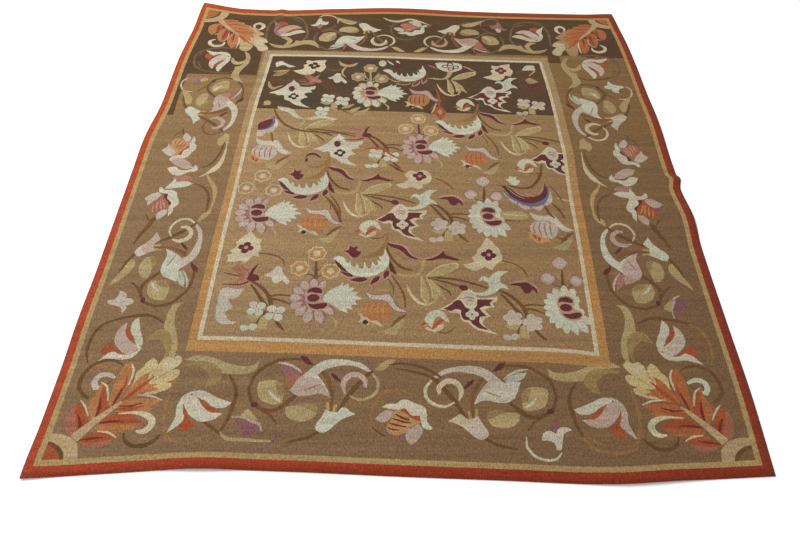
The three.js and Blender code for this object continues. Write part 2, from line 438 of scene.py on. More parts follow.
def ghost_flower():
    """The same flower woven all in milk white, with an oval and a small blossom in dark yarn."""
    made = star_flower("milk", "milk", "milk", "milk") + area("milk", (-26, 40), (-8, 84), (18, 42))
    made += oval("maroon", -10, 24, 12, 18, 8)
    made += moved(quatrefoil("dark", "milk"), 3, -25, turn=20, size=0.85)
    return made + oval("milk", 3, -25, 8, 8)


def bird_leaf():
    """A pale leaf of three points like a flying bird, with a long tail to the left."""
    return (
        area("mint", (52, 40), (20, 41), (0, 26), (-12, 12), (-25, 20), (-40, 12), (-45, -3), (-33, 5),
             (-20, -1), (-13, -14), (-16, -30), (-32, -42), (-56, -43), (-82, -32), (-65, -48), (-40, -56),
             (-10, -51), (12, -37), (25, -25), (48, -31), (40, -14), (25, -5), (24, 14), (36, 30))
        + line("sea", (10, 28, 3), (-2, -4, 7), (-4, -36, 3))
    )


def wing():
    """A dark folded petal with a pink edge."""
    return (
        line("pink", (-46, 12, 3), (-10, 21, 8), (18, 20, 8), (36, 4, 7), (44, -18, 3))
        + area("maroon", (-44, 9), (-12, 16), (12, 16), (27, 5), (41, -10), (40, -27), (28, -10), (18, -22),
               (4, -26), (-8, -6), (-14, 3), (-32, 5))
    )


def flame():
    """A small pale hook over a flame in a cream cup."""
    made = line("wood", (4, -46, 4), (28, -54, 6), (50, -47, 5), (66, -28, 2))
    made += area("cream", (-34, -36), (-20, -28), (-6, -38), (8, -26), (30, -18), (24, -38), (2, -49),
                 (-20, -44))
    made += area("rust", (-50, -26), (-34, -12), (-16, -14), (-8, -28), (2, -14), (18, -2), (33, -4),
                 (18, -16), (4, -32), (-8, -40), (-26, -28))
    made += line("cream", (-34, -24, 2), (-20, -24, 4), (-8, -36, 2))
    made += area("ivory", (-32, -10), (-30, 10), (-13, 29), (9, 35), (30, 26), (42, 5), (48, -15), (32, -6),
                 (16, 8), (4, 4), (-4, -12), (-10, -36), (-20, -22))
    made += area("mint", (-28, -8), (-26, 8), (-12, 24), (8, 30), (27, 21), (36, 4), (40, -6), (30, 2),
                 (18, 12), (4, 10), (-6, -4), (-10, -26), (-18, -16))
    return made


def wavy_leaves(yarn="maroon", rim="pink"):
    """Two long wavy leaves, the left one falling and the right one like a low roof."""
    return (
        line(rim, (-116, 62, 3), (-84, 54, 7), (-56, 42, 8), (-38, 12, 8), (-10, -8, 3))
        + area(yarn, (-118, 60), (-92, 52), (-68, 46), (-54, 32), (-42, 12), (-28, 0), (-8, -9), (-30, -8),
               (-48, 2), (-64, 20), (-80, 32), (-100, 40), (-112, 50))
        + line(rim, (4, -8, 3), (28, 0, 7), (52, 14, 8), (68, 32, 3))
        + area(yarn, (2, -12), (30, -4), (52, 10), (67, 28), (72, 12), (92, 2), (124, -11), (100, -13),
               (76, -6), (50, -7), (28, -15))
    )


def pear_leaf():
    """A pale leaf shaped like a pear with torn sides, a dark blossom on it and a thin stem behind."""
    made = line("wood", (40, -24, 6), (74, -34, 6), (104, -58, 6), (118, -92, 3))
    made += area("tan", (92, -84), (110, -92), (132, -90), (140, -100), (118, -108), (100, -98))
    made += area("cream", (-2, 74), (12, 60), (20, 50), (26, 38), (36, 26), (38, 12), (42, -2), (41, -22),
                 (26, -34), (16, -48), (6, -63), (-6, -58), (-14, -50), (-30, -58), (-50, -66), (-68, -58),
                 (-88, -41), (-64, -37), (-46, -28), (-56, -12), (-46, -2), (-38, 8), (-36, 20), (-26, 32),
                 (-18, 46), (-14, 56))
    return made + quatrefoil()


def broad_leaf():
    """A wider leaf of the same kind, with three jagged points on each side."""
    made = line("wood", (46, -24, 4), (84, -28, 6), (120, -46, 6), (134, -74, 3))
    made += area("tan", (104, -70), (124, -76), (150, -84), (158, -98), (132, -94), (114, -82))
    made += area("cream", (4, 72), (18, 54), (28, 40), (46, 34), (42, 12), (50, -6), (42, -18), (49, -38),
                 (26, -36), (14, -56), (2, -68), (-8, -54), (-26, -60), (-52, -60), (-48, -46), (-56, -34),
                 (-40, -24), (-50, -14), (-30, 4), (-36, 22), (-28, 28), (-20, 44), (-8, 54))
    return made + quatrefoil()


def flat_leaf(yarn="ivory", eye="hay", petals="dark"):
    """A leaf of the same kind with a straight top."""
    made = area(yarn, (-31, 40), (-10, 32), (10, 39), (49, 41), (42, 14), (49, -2), (44, -24), (30, -46),
                (10, -34), (0, -55), (-24, -67), (-52, -60), (-86, -38), (-50, -28), (-40, -14), (-44, 2),
                (-30, 12), (-36, 26))
    return made + quatrefoil(petals, eye)


def round_leaf():
    """A leaf of the same kind lying on its side."""
    made = line("wood", (42, -6, 5), (72, -18, 6), (102, -42, 6), (124, -74, 4))
    made += area("tan", (96, -64), (120, -66), (140, -78), (132, -84), (110, -78))
    made += area("cream", (-44, 20), (-28, 29), (-13, 22), (12, 31), (30, 22), (38, 8), (43, -10),
                 (33, -35), (12, -45), (8, -60), (-8, -66), (-28, -55), (-58, -65), (-85, -46), (-55, -32),
                 (-38, -15), (-54, 5))
    return made + quatrefoil()


def quatrefoil(yarn="maroon", eye="pink"):
    """A blossom of four round petals."""
    made = []
    for x, y in [(2, 13), (13, -3), (-2, -14), (-14, 2)]:
        made += oval(yarn, x, y, 11.5, 10.5)
    return made + oval(eye, 0, 0, 7, 7)


def tulip(yarn="maroon", rim="pink"):
    """A small three-pointed tulip."""
    return (
        area(rim, (-36, 6), (-20, 12), (-16, 30), (-4, 22), (6, 22), (15, 26), (12, 8), (28, 0), (21, -15),
             (8, -26), (-8, -24), (-20, -10))
        + area(yarn, (-32, 5), (-15, 9), (-12, 28), (-3, 20), (6, 20), (14, 24), (11, 6), (27, 0), (20, -15),
               (9, -25), (-3, -21), (-12, -8))
    )


def blossom(yarn="mint", petals=4):
    """A blossom of separate round petals in a ring."""
    radius = 15.0
    made = oval(yarn, 0, 0, radius * 0.8, radius * 0.8)
    for k in range(petals):
        a = 2 * math.pi * (k + 0.4) / petals
        made += oval("wood", radius * 0.96 * math.cos(a), radius * 0.96 * math.sin(a), radius * 0.8,
                     radius * 0.76)
    for k in range(petals):
        a = 2 * math.pi * (k + 0.4) / petals
        made += oval(yarn, radius * math.cos(a), radius * math.sin(a), radius * 0.72, radius * 0.68)
    return made + oval("cream", 0, 0, radius * 0.34, radius * 0.34)


def spray(yarn="mint", petals=4, wood="stem"):
    """The forked stem that leaves a daisy at its left, with its blossoms and two small leaves."""
    made = line(wood, (-206, 70, 8), (-168, 46, 11), (-138, 12, 12), (-124, -22, 13), (-130, -44, 9))
    made += line(wood, (-196, 52, 6), (-176, 26, 10), (-156, -4, 11), (-136, -30, 11))
    made += line(wood, (-130, 8, 7), (-104, 12, 7), (-56, 8, 4))
    made += line(wood, (-126, -2, 8), (-96, -8, 7), (-62, -24, 4))
    made += line(wood, (-136, -46, 8), (-148, -72, 9), (-158, -92, 6))
    made += line(wood, (-108, -72, 7), (-92, -96, 11), (-74, -114, 6))
    made += area("leaf", (-196, -66), (-168, -54), (-146, -64), (-164, -80))
    made += area("leaf", (-148, -70), (-136, -60), (-126, -76), (-124, -112), (-152, -108))
    for x, y, size in [(-166, -38, 1.18), (-108, -54, 1.28)]:
        made += moved(blossom(yarn, petals), x, y, size=size)
    made += oval(yarn, -190, -106, 13, 10, -20) + oval(yarn, -166, -103, 13, 11, 20)
    return made


def fallen_leaves(wood="stem"):
    """A sheaf of leaves that hangs from one knot, and the stems that leave it to the right."""
    made = line(wood, (4, -3, 4), (40, -6, 8), (110, -16, 8), (160, -32, 9), (196, -46, 5))
    made += line(wood, (10, -8, 3), (60, -22, 8), (112, -40, 8))
    made += line(wood, (10, -8, 4), (40, -34, 6), (76, -62, 7), (82, -76, 3))
    made += area("hay", (2, -4), (28, 25), (60, 45), (105, 55), (111, 40), (88, 20), (56, 3), (30, -3))
    made += area("leaf", (6, -5), (30, 20), (62, 40), (100, 49), (107, 39), (86, 20), (55, 4), (30, -2))
    made += line("hay", (-10, -2, 4), (-4, -38, 16), (1, -78, 25), (10, -110, 5))
    made += line("leaf", (-7, -4, 4), (-1, -38, 14), (5, -78, 21), (10, -108, 4))
    made += line("leaf", (6, -6, 5), (26, -46, 15), (36, -80, 14), (30, -106, 4))
    made += line("hay", (8, -8, 2), (20, -46, 4), (26, -84, 4))
    made += line("leaf", (18, -14, 5), (42, -46, 12), (56, -78, 10), (68, -94, 2))
    made += line("hay", (16, -12, 2), (38, -48, 3), (48, -80, 3))
    made += line("hay", (-56, -32, 2), (-42, -70, 9), (-20, -100, 11), (8, -110, 8), (28, -100, 3))
    made += line("ivory", (-53, -44, 2), (-40, -74, 6), (-18, -102, 7), (2, -110, 3))
    made += line("leaf", (-98, 12, 4), (-62, 0, 8), (-26, 2, 9), (-8, 24, 11), (0, 64, 13))
    return made


def drooping_stem():
    """The long stems that run down from the top of a crescent to the sheaf, and on to a bud."""
    return (
        line("stem", (56, 130, 5), (62, 84, 8), (86, 36, 9), (114, 10, 9), (142, 2, 6))
        + line("honey", (62, 160, 5), (56, 112, 17), (36, 74, 22), (8, 58, 14), (-18, 52, 3))
        + line("wood", (78, -20, 4), (102, -60, 7), (118, -100, 8), (122, -142, 5))
        + line("wood", (64, -30, 3), (82, -60, 5), (86, -92, 3))
    )


def pink_tulip(body="salmon", shade="maroon"):
    """A broad tulip lying on its side, with two short stamens."""
    return (
        line("wood", (-64, 6, 3), (-36, -2, 6), (-4, -8, 5)) + line("moss", (-56, -16, 3), (-24, -20, 6))
        + area(body, (-42, 22), (-28, 42), (-6, 32), (14, 15), (20, -8), (6, -26), (-14, -34), (-52, -38),
               (-20, -26), (-6, -12), (-22, 4))
        + area("rose", (-14, 20), (6, 12), (14, -4), (10, -20), (-4, -26), (2, -10), (-4, 6))
        + area(shade, (10, -18), (16, 4), (24, 28), (40, 44), (32, 24), (26, 2), (44, -4), (50, -22),
               (30, -26))
        + line("pink", (6, -6, 2), (14, 14, 4), (28, 34, 2))
        + line(shade, (-60, -38, 3), (-10, -40, 5), (18, -28, 7))
    )


def fleur():
    """A pale flower of four long points."""
    return area("milk", (-44, 0), (-24, 10), (-14, 26), (-6, 33), (8, 28), (12, 10), (25, -8), (38, -28),
                (30, -37), (14, -20), (0, -34), (-14, -28), (-20, -10), (-34, -8))


def moved(shapes, x, y, turn=0.0, size=1.0):
    """A drawing turned, resized and moved."""
    c, s = math.cos(math.radians(turn)) * size, math.sin(math.radians(turn)) * size
    turned = np.array([[c, s], [-s, c]])
    return [(yarn, loop @ turned + (x, y)) for yarn, loop in shapes]


def placed(shapes, *places, size=1.0):
    """Copies of a drawing at the given places."""
    return [copy for x, y in places for copy in moved(shapes, x, y, size=size)]


def laid(shapes, start, along, inward, stem="stem"):
    """A drawing made in (u, v), laid on the rug from a starting point along two directions, its stems in a
    given yarn."""
    axes = np.array([along, inward], float)
    return [(stem if yarn == "stem" else yarn, loop @ axes + start) for yarn, loop in shapes]


def top_row():
    """The drawings along the far end of the field that are there only once."""
    made = area("milk", (388, 1760), (410, 1774), (430, 1757), (474, 1736), (446, 1731), (422, 1745),
                (392, 1730))
    made += area("moss", (384, 1668), (398, 1692), (424, 1710), (452, 1710), (436, 1688), (412, 1670))
    made += line("leaf", (384, 1700, 3), (410, 1704, 9), (452, 1711, 5))
    made += line("leaf", (388, 1670, 3), (414, 1674, 7), (440, 1692, 3))
    made += line("leaf", (686, 1668, 4), (670, 1694, 8), (672, 1722, 9), (684, 1744, 6))
    made += line("wood", (598, 1730, 3), (630, 1716, 7), (664, 1722, 5))
    made += area("leaf", (648, 1786), (668, 1766), (690, 1757), (732, 1774), (716, 1748), (684, 1742),
                 (658, 1752))
    made += area("maroon", (672, 1784), (690, 1790), (708, 1786), (704, 1768), (688, 1762), (676, 1768))
    made += oval("milk", 834, 1772, 16, 22)
    made += line("milk", (852, 1794, 4), (868, 1776, 9), (884, 1760, 4))
    made += line("milk", (890, 1792, 8), (900, 1784, 12), (906, 1776, 4))
    made += area("maroon", (880, 1762), (896, 1770), (912, 1770), (910, 1740), (888, 1738))
    made += area("maroon", (1004, 1782), (1030, 1788), (1054, 1780), (1070, 1754), (1048, 1752),
                 (1030, 1766))
    made += area("maroon", (1146, 1724), (1184, 1752), (1200, 1742), (1172, 1716))
    made += line("pink", (1176, 1762, 4), (1200, 1746, 8), (1230, 1722, 3))
    made += line("pink", (1028, 1766, 3), (1050, 1752, 6), (1066, 1740, 3))
    made += area("milk", (1056, 1782), (1080, 1788), (1110, 1786), (1140, 1787), (1166, 1776), (1168, 1744),
                 (1136, 1724), (1100, 1724), (1070, 1744))
    for x, y in [(1098, 1760), (1144, 1756), (1120, 1776), (1122, 1742)]:
        made += oval("peat", x, y, 14, 12) + oval("milk", x, y, 8, 7)
    made += line("leaf", (1122, 1724, 20), (1112, 1698, 17), (1098, 1668, 8))
    made += line("leaf", (1024, 1672, 4), (1052, 1674, 8), (1084, 1668, 5))
    made += area("milk", (1446, 1778), (1480, 1778), (1482, 1744), (1424, 1742), (1430, 1758))
    made += line("leaf", (1478, 1740, 10), (1466, 1722, 6), (1450, 1704, 4))
    made += area("gold", (1430, 1674), (1452, 1690), (1486, 1662), (1448, 1650))
    made += area("maroon", (1430, 1634), (1456, 1650), (1482, 1644), (1458, 1618))
    made += line("leaf", (376, 1630, 6), (386, 1598, 15), (400, 1584, 14), (436, 1606, 4))
    made += area("leaf", (378, 1502), (390, 1508), (404, 1494), (400, 1480), (376, 1476))
    made += line("leaf", (682, 1466, 5), (706, 1478, 20), (730, 1492, 5))
    made += line("leaf", (704, 1438, 5), (728, 1454, 21), (756, 1476, 5))
    made += line("leaf", (730, 1422, 5), (762, 1442, 22), (792, 1470, 5))
    made += line("wood", (656, 1466, 3), (690, 1452, 7), (728, 1426, 4))
    made += area("rust", (1068, 1494), (1048, 1470), (1044, 1450), (1070, 1404), (1093, 1450), (1088, 1470))
    made += area("gold", (1069, 1474), (1060, 1456), (1070, 1434), (1079, 1456))
    made += line("rust", (1058, 1600, 4), (1066, 1548, 8), (1067, 1494, 9))
    made += line("umber", (1230, 1528, 3), (1224, 1480, 6), (1214, 1444, 4))
    made += line("cream", (1056, 1512, 3), (1048, 1480, 8), (1036, 1444, 3))
    return made


def loose_leaves():
    """Small drawings between the large ones in the lower and middle field."""
    made = area("pearl", (380, 580), (400, 589), (425, 583), (449, 587), (440, 562), (425, 549), (406, 547),
                (412, 538), (425, 519), (424, 512), (408, 500), (412, 486), (426, 468), (448, 464),
                (435, 456), (405, 457), (385, 472), (379, 500))
    made += line("stem", (660, 984, 5), (690, 944, 12), (714, 892, 12), (724, 856, 6))
    made += line("maroon", (572, 1182, 5), (584, 1196, 11), (606, 1197, 12), (628, 1178, 5))
    made += oval("maroon", 577, 1166, 5, 12)
    made += line("honey", (584, 1132, 6), (618, 1128, 14), (646, 1148, 16), (659, 1180, 16), (654, 1206, 8))
    made += area("leaf", (432, 1142), (450, 1126), (464, 1124), (484, 1152), (492, 1186), (470, 1160),
                 (452, 1154))
    made += line("rust", (784, 1230, 4), (820, 1236, 12), (858, 1228, 14), (884, 1200, 10), (914, 1180, 5))
    made += line("umber", (878, 1150, 6), (906, 1126, 12), (930, 1110, 5))
    made += area("leaf", (1246, 920), (1300, 922), (1342, 920), (1362, 900), (1340, 884), (1290, 886),
                 (1250, 892))
    made += line("ivory", (1254, 914, 2), (1300, 906, 4), (1346, 902, 2))
    made += line("stem", (1248, 884, 3), (1284, 880, 6), (1330, 876, 3))
    made += line("stem", (1440, 810, 3), (1470, 790, 8), (1484, 824, 5))
    made += line("wood", (1450, 1050, 3), (1472, 1012, 6), (1490, 960, 3))
    return made


def field_drawings():
    """Everything that is woven in the field, from the back of the picture to its front."""
    made = placed(fallen_leaves(), (1000, 640), (778, 1000), (1350, 1322), (548, 1344))
    made += moved(fallen_leaves(wood="sepia"), 1116, 1670) + moved(fallen_leaves(), 1564, 978)
    made += placed(drooping_stem(), (820, 660), (598, 1015), (1160, 1347))
    for x, y, yarn, petals, wood in [(662, 550, "mint", 4, "stem"), (1432, 520, "pearl", 5, "stem"),
                                     (1220, 896, "pearl", 5, "stem"), (992, 1244, "mint", 4, "umber"),
                                     (790, 1566, "mint", 4, "sepia"), (1574, 1560, "pearl", 4, "sepia")]:
        made += moved(spray(yarn, petals, wood), x, y)
    made += loose_leaves()
    for x, y, body, edge, stem in [(662, 550, "gold", "cream", "stem"), (437, 903, "tan", "cream", "tan"),
                                   (988, 1233, "peach", "cream", "umber"),
                                   (790, 1558, "tan", "leaf", "leaf")]:
        made += moved(ring_flowers(body, edge, stem), x, y)
    made += placed(diamonds(), (1436, 520), (1212, 890))
    made += placed(daisy() + fan(), (662, 550), (438, 900), (992, 1244))
    made += moved(daisy("milk", "tan") + fan(), 790, 1566)
    made += placed(full_fan(), (1432, 520), (1220, 896))
    for x, y, stripe, under in [(854, 508, "gold", "leaf"), (634, 860, "gold", "leaf"),
                                (1192, 1188, "rust", "leaf"), (984, 1528, "umber", "peat")]:
        hood = "lilac" if under == "peat" else "pearl"
        made += moved(pomegranate("orange", stripe, hood, under=under), x, y)
    for x, y in [(1404, 842), (418, 1204)]:
        made += moved(pomegranate("pearl", "mauve", "milk", "peach", "leaf", "peach", "pearl"), x, y,
                      size=1.06)
        made += area("peach", (x - 54, y - 30), (x - 40, y - 12), (x - 20, y - 24), (x + 6, y - 46),
                     (x - 8, y - 62), (x - 32, y - 58))
        made += oval("rust", x - 34, y - 34, 5, 12, 25) + oval("rust", x - 20, y - 44, 5, 10, -10)
    made += placed(crescent(), (820, 660), (598, 1015), (1160, 1347))
    made += moved(crescent("umber", "blush"), 948, 1675)
    made += moved(moon(), 1384, 993) + half_moon()
    made += placed(star_flower(), (1140, 520), (926, 880), (1280, 1555), (1484, 1188))
    made += placed(ghost_flower(), (692, 1232), (484, 1562))
    made += placed(bird_leaf(), (1215, 620), (1000, 980), (1346, 1646))
    made += placed(wing(), (1310, 600), (1095, 972))
    made += placed(flame(), (1030, 478), (816, 842), (1376, 1158), (1166, 1508), size=0.92)
    made += placed(wavy_leaves(), (996, 716), (774, 1074), (1338, 1396))
    made += moved(wavy_leaves("milk", "cream"), 550, 1408)
    made += moved(broad_leaf(), 428, 749) + moved(pear_leaf(), 1210, 728) + moved(flat_leaf(), 549, 1746)
    made += moved(round_leaf(), 988, 1090) + moved(flat_leaf("cream", "pink", "maroon"), 1334, 1738, turn=8)
    made += placed(tulip(), (771, 735), (551, 1088))
    made += moved(tulip("mint", "milk"), 1324, 1072, size=0.85)
    for x, y in [(1122, 594), (902, 958), (1466, 1278)]:
        made += oval("maroon", x, y, 14, 11, -20)
    made += moved(pink_tulip(), 440, 640)
    made += moved(pink_tulip("salmon", "rose"), 548, 1650, size=0.85)
    made += moved(pink_tulip("rose"), 760, 1320)
    made += moved(fleur(), 545, 640) + moved(fleur(), 655, 1664)
    made += moved(blossom("mint"), 608, 1446, size=1.2)
    return made + top_row()


def tulip_bay(heart="milk", side="milk", ring="honey", outer=None):
    """A tulip bent over between two thin arcs, next to the corner leaf."""
    made = line(ring, (312, 280, 4), (308, 240, 9), (306, 180, 10), (314, 140, 10), (334, 104, 9),
                (366, 96, 4))
    made += line(ring, (410, 102, 4), (430, 110, 8), (452, 124, 4))
    made += line("stem", (458, 288, 5), (478, 256, 10), (486, 228, 11), (482, 190, 11), (474, 152, 10),
                 (462, 120, 6))
    if outer:
        made += line(outer, (464, 126, 7), (446, 98, 10), (406, 82, 10), (358, 82, 9), (326, 96, 4))
    else:
        made += line("stem", (408, 154, 4), (436, 136, 10), (464, 116, 7))
    made += area("rust", (350, 204), (362, 196), (372, 160), (394, 148), (386, 132), (366, 123), (352, 130),
                 (356, 152), (358, 180))
    made += area(side, (376, 244), (346, 226), (336, 196), (338, 164), (325, 118), (350, 140), (362, 160),
                 (354, 180), (352, 206), (366, 232))
    made += area(heart, (352, 206), (372, 172), (400, 152), (434, 154), (460, 173), (430, 180), (410, 196),
                 (388, 226), (364, 226))
    made += area("rust", (384, 222), (402, 210), (424, 194), (450, 178), (430, 176), (406, 192))
    made += area("milk", (364, 236), (392, 241), (438, 220), (478, 205), (462, 191), (434, 192), (410, 208),
                 (390, 220), (376, 226))
    return made


def scroll_leaf(far=False):
    """The long leaf along the field's edge beside a corner, and the shorter one that curls back from it."""
    if far:
        made = area("leaf", (326, 294), (358, 306), (398, 310), (430, 296), (442, 270), (458, 274),
                    (480, 268), (510, 268), (534, 290), (548, 326), (510, 302), (478, 300), (446, 314),
                    (414, 328), (374, 330), (346, 318))
        return made + line("leaf", (376, 250, 5), (400, 256, 19), (416, 276, 22), (406, 302, 16),
                           (392, 312, 6))
    made = area("leaf", (324, 336), (350, 350), (392, 347), (424, 336), (450, 324), (490, 316), (516, 319),
                (532, 333), (527, 304), (502, 292), (450, 291), (430, 296), (412, 314), (392, 327),
                (360, 331))
    return made + line("moss", (334, 320, 5), (368, 324, 16), (402, 310, 32), (420, 286, 36),
                       (408, 262, 20), (398, 250, 4))


def bud_bay(low_leaf=False):
    """The round stem with a bud in it, and near the corner of some bays a straight low leaf."""
    made = []
    if low_leaf:
        made = line("leaf", (462, 122, 3), (482, 104, 11), (530, 100, 10), (598, 96, 5))
    made += line("stem", (517, 240, 8), (528, 288, 10), (554, 316, 10), (586, 335, 10), (622, 340, 9),
                 (660, 337, 8), (684, 322, 5))
    made += line("stem", (517, 246, 8), (532, 206, 10), (550, 192, 11), (574, 183, 11), (598, 184, 12),
                 (622, 202, 12), (648, 228, 10))
    made += area("leaf", (540, 262), (560, 272), (592, 270), (610, 250), (613, 206), (592, 200), (566, 206),
                 (548, 222))
    made += area("moss", (600, 264), (613, 246), (614, 222), (598, 230), (590, 250), (584, 268))
    made += line("milk", (572, 242, 3), (586, 224, 9), (606, 210, 6))
    made += oval("maroon", 540, 199, 10, 8) + line("stem", (560, 184, 6), (588, 166, 8), (606, 142, 5))
    return made


def fleur_bay(body="milk", bud="violet", arc="milk"):
    """A small pale fleur with a dark bud, inside a thin pale arc."""
    made = line(arc, (611, 126, 3), (612, 98, 7), (594, 74, 7), (570, 64, 7), (543, 66, 7), (526, 82, 3))
    made += area(bud, (548, 146), (540, 170), (528, 172), (520, 152), (534, 138))
    made += area(body, (573, 116), (566, 137), (549, 144), (535, 136), (524, 150), (508, 155), (491, 146),
                 (512, 136), (519, 116), (527, 91), (538, 91), (541, 108), (556, 116))
    return made


def violet_bay():
    """The small violet flower beside the scroll, and its thin violet stem."""
    made = line("violet", (604, 134, 4), (607, 102, 5), (592, 82, 5), (566, 74, 5), (538, 80, 3))
    made += area("leaf", (508, 166), (516, 182), (526, 186), (540, 172), (556, 156), (536, 150))
    made += area("violet", (490, 158), (506, 152), (530, 152), (552, 144), (560, 128), (543, 116),
                 (530, 104), (520, 120), (506, 142))
    made += line("lilac", (484, 164, 3), (516, 162, 5), (542, 150, 7), (560, 144, 8), (570, 124, 4))
    return made


def bell_bay(bell, vein, side, low, arch, curl, ring="leaf"):
    """A lens-shaped leaf, a bell flower with a long arched petal, and the curl that ends the arch."""
    made = area("moss", (640, 192), (676, 204), (706, 196), (712, 176), (692, 184))
    made += area("leaf", (622, 190), (640, 196), (670, 192), (708, 176), (696, 158), (668, 151), (640, 158),
                 (626, 172))
    made += area("maroon", (646, 350), (664, 347), (678, 330), (688, 320), (672, 322), (656, 332))
    made += line("salmon", (652, 330, 4), (656, 312, 7), (664, 296, 5))
    made += area(low, (590, 318), (618, 314), (648, 298), (652, 280), (626, 286), (602, 300))
    made += line("pearl", (586, 328, 3), (612, 324, 8), (640, 310, 7), (656, 296, 3))
    made += area(side, (610, 288), (644, 286), (656, 262), (632, 238), (620, 262))
    made += area(bell, (640, 262), (652, 284), (680, 292), (708, 270), (728, 250), (741, 220), (712, 232),
                 (680, 226), (650, 226), (628, 242))
    made += line(vein, (668, 242, 3), (692, 252, 4), (716, 263, 3))
    made += area(arch, (658, 286), (676, 306), (702, 328), (728, 338), (756, 339), (796, 334), (824, 324),
                 (848, 302), (838, 300), (812, 314), (780, 320), (744, 315), (716, 304), (700, 288),
                 (718, 266), (736, 232), (704, 272), (682, 284))
    made += line("maroon", (738, 294, 6), (752, 280, 11), (766, 268, 5))
    made += line(curl, (780, 232, 5), (773, 260, 15), (787, 286, 17), (812, 290, 16), (832, 272, 15),
                 (833, 250, 8))
    made += line(ring, (852, 294, 6), (868, 270, 9), (866, 240, 9), (846, 220, 9), (818, 214, 8),
                 (792, 226, 4))
    return made


def tip_leaf(broad=False):
    """The leaf in which the stem beyond the arch ends: an ivy-like one, or a slim one."""
    if broad:
        return area("leaf", (858, 314), (872, 308), (890, 292), (914, 290), (936, 304), (918, 320),
                    (922, 340), (896, 334), (872, 330))
    return area("leaf", (856, 304), (878, 328), (898, 340), (919, 338), (902, 322), (880, 304))


def outer_stem(whole=False):
    """The stem outside the trumpet with its slim leaf, and in some bays its thick dark upper part."""
    made = line("stem", (718, 122, 11), (700, 112, 12), (676, 100, 10), (640, 92, 6))
    made += area("leaf", (698, 116), (690, 130), (664, 134), (636, 120), (610, 96), (590, 74), (618, 82),
                 (648, 96), (676, 106))
    if whole:
        return made + line("stem", (880, 148, 4), (862, 142, 17), (836, 134, 18), (796, 116, 13),
                           (756, 104, 5))
    return made + line("stem", (874, 148, 3), (858, 142, 9), (838, 138, 4))


def trumpet_bay(body="milk", foot="milk", tip="milk"):
    """A trumpet flower turned outward, its two stems and its tail."""
    made = line("wood", (706, 300, 6), (722, 288, 12), (736, 262, 13), (746, 228, 10), (744, 180, 8))
    made += line("stem", (854, 302, 6), (836, 286, 11), (808, 252, 14), (782, 212, 12), (762, 172, 8))
    made += line("stem", (718, 122, 8), (690, 106, 9), (660, 98, 7), (636, 92, 4))
    made += area(body, (732, 186), (722, 164), (709, 142), (710, 128), (727, 119), (744, 126), (766, 148),
                 (788, 163), (812, 171), (796, 181), (778, 192), (762, 178), (748, 178))
    made += area(foot, (709, 142), (710, 128), (727, 119), (744, 126), (752, 134), (732, 144), (720, 156))
    made += area(tip, (768, 152), (788, 163), (812, 171), (796, 181), (778, 192), (764, 178))
    made += line("straw", (734, 206, 7), (738, 182, 9)) + line("straw", (757, 200, 7), (752, 178, 9))
    return made


def hooded_flower(body="peach", bars="oxblood", edge="rust", side="lilac", ring=None):
    """A flower that hides its barred heart under a pale hood."""
    made = []
    if ring:
        made = line(ring, (862, 112, 3), (854, 146, 6), (858, 196, 7), (884, 234, 8), (926, 246, 8),
                    (966, 228, 4))
    made += line("stem", (856, 136, 3), (872, 122, 6), (892, 110, 3))
    made += area(side, (864, 156), (876, 172), (900, 184), (920, 176), (906, 160), (886, 148))
    made += area(side, (950, 124), (980, 144), (992, 128), (982, 104), (962, 84), (946, 104))
    made += area("violet" if side == "lilac" else side, (926, 104), (944, 118), (948, 100))
    made += area(body, (912, 178), (942, 190), (956, 164), (984, 166), (986, 148), (964, 138), (940, 116),
                 (910, 114), (894, 130), (902, 148), (910, 162))
    made += line(bars, (918, 172, 3), (936, 162, 7), (956, 154, 4))
    made += line(bars, (911, 160, 3), (934, 151, 6), (960, 146, 3))
    made += line(bars, (903, 146, 3), (924, 140, 6), (948, 136, 3))
    made += line(bars, (897, 134, 3), (912, 128, 5), (930, 126, 3))
    made += area(edge, (930, 182), (944, 194), (958, 176), (984, 168), (986, 152), (968, 156), (950, 172))
    made += area("milk", (882, 192), (900, 202), (920, 202), (932, 213), (950, 214), (972, 203), (996, 192),
                 (1004, 170), (1003, 150), (1018, 132), (1010, 126), (992, 134), (986, 156), (984, 167),
                 (962, 168), (950, 182), (942, 188), (922, 184), (904, 187))
    return made


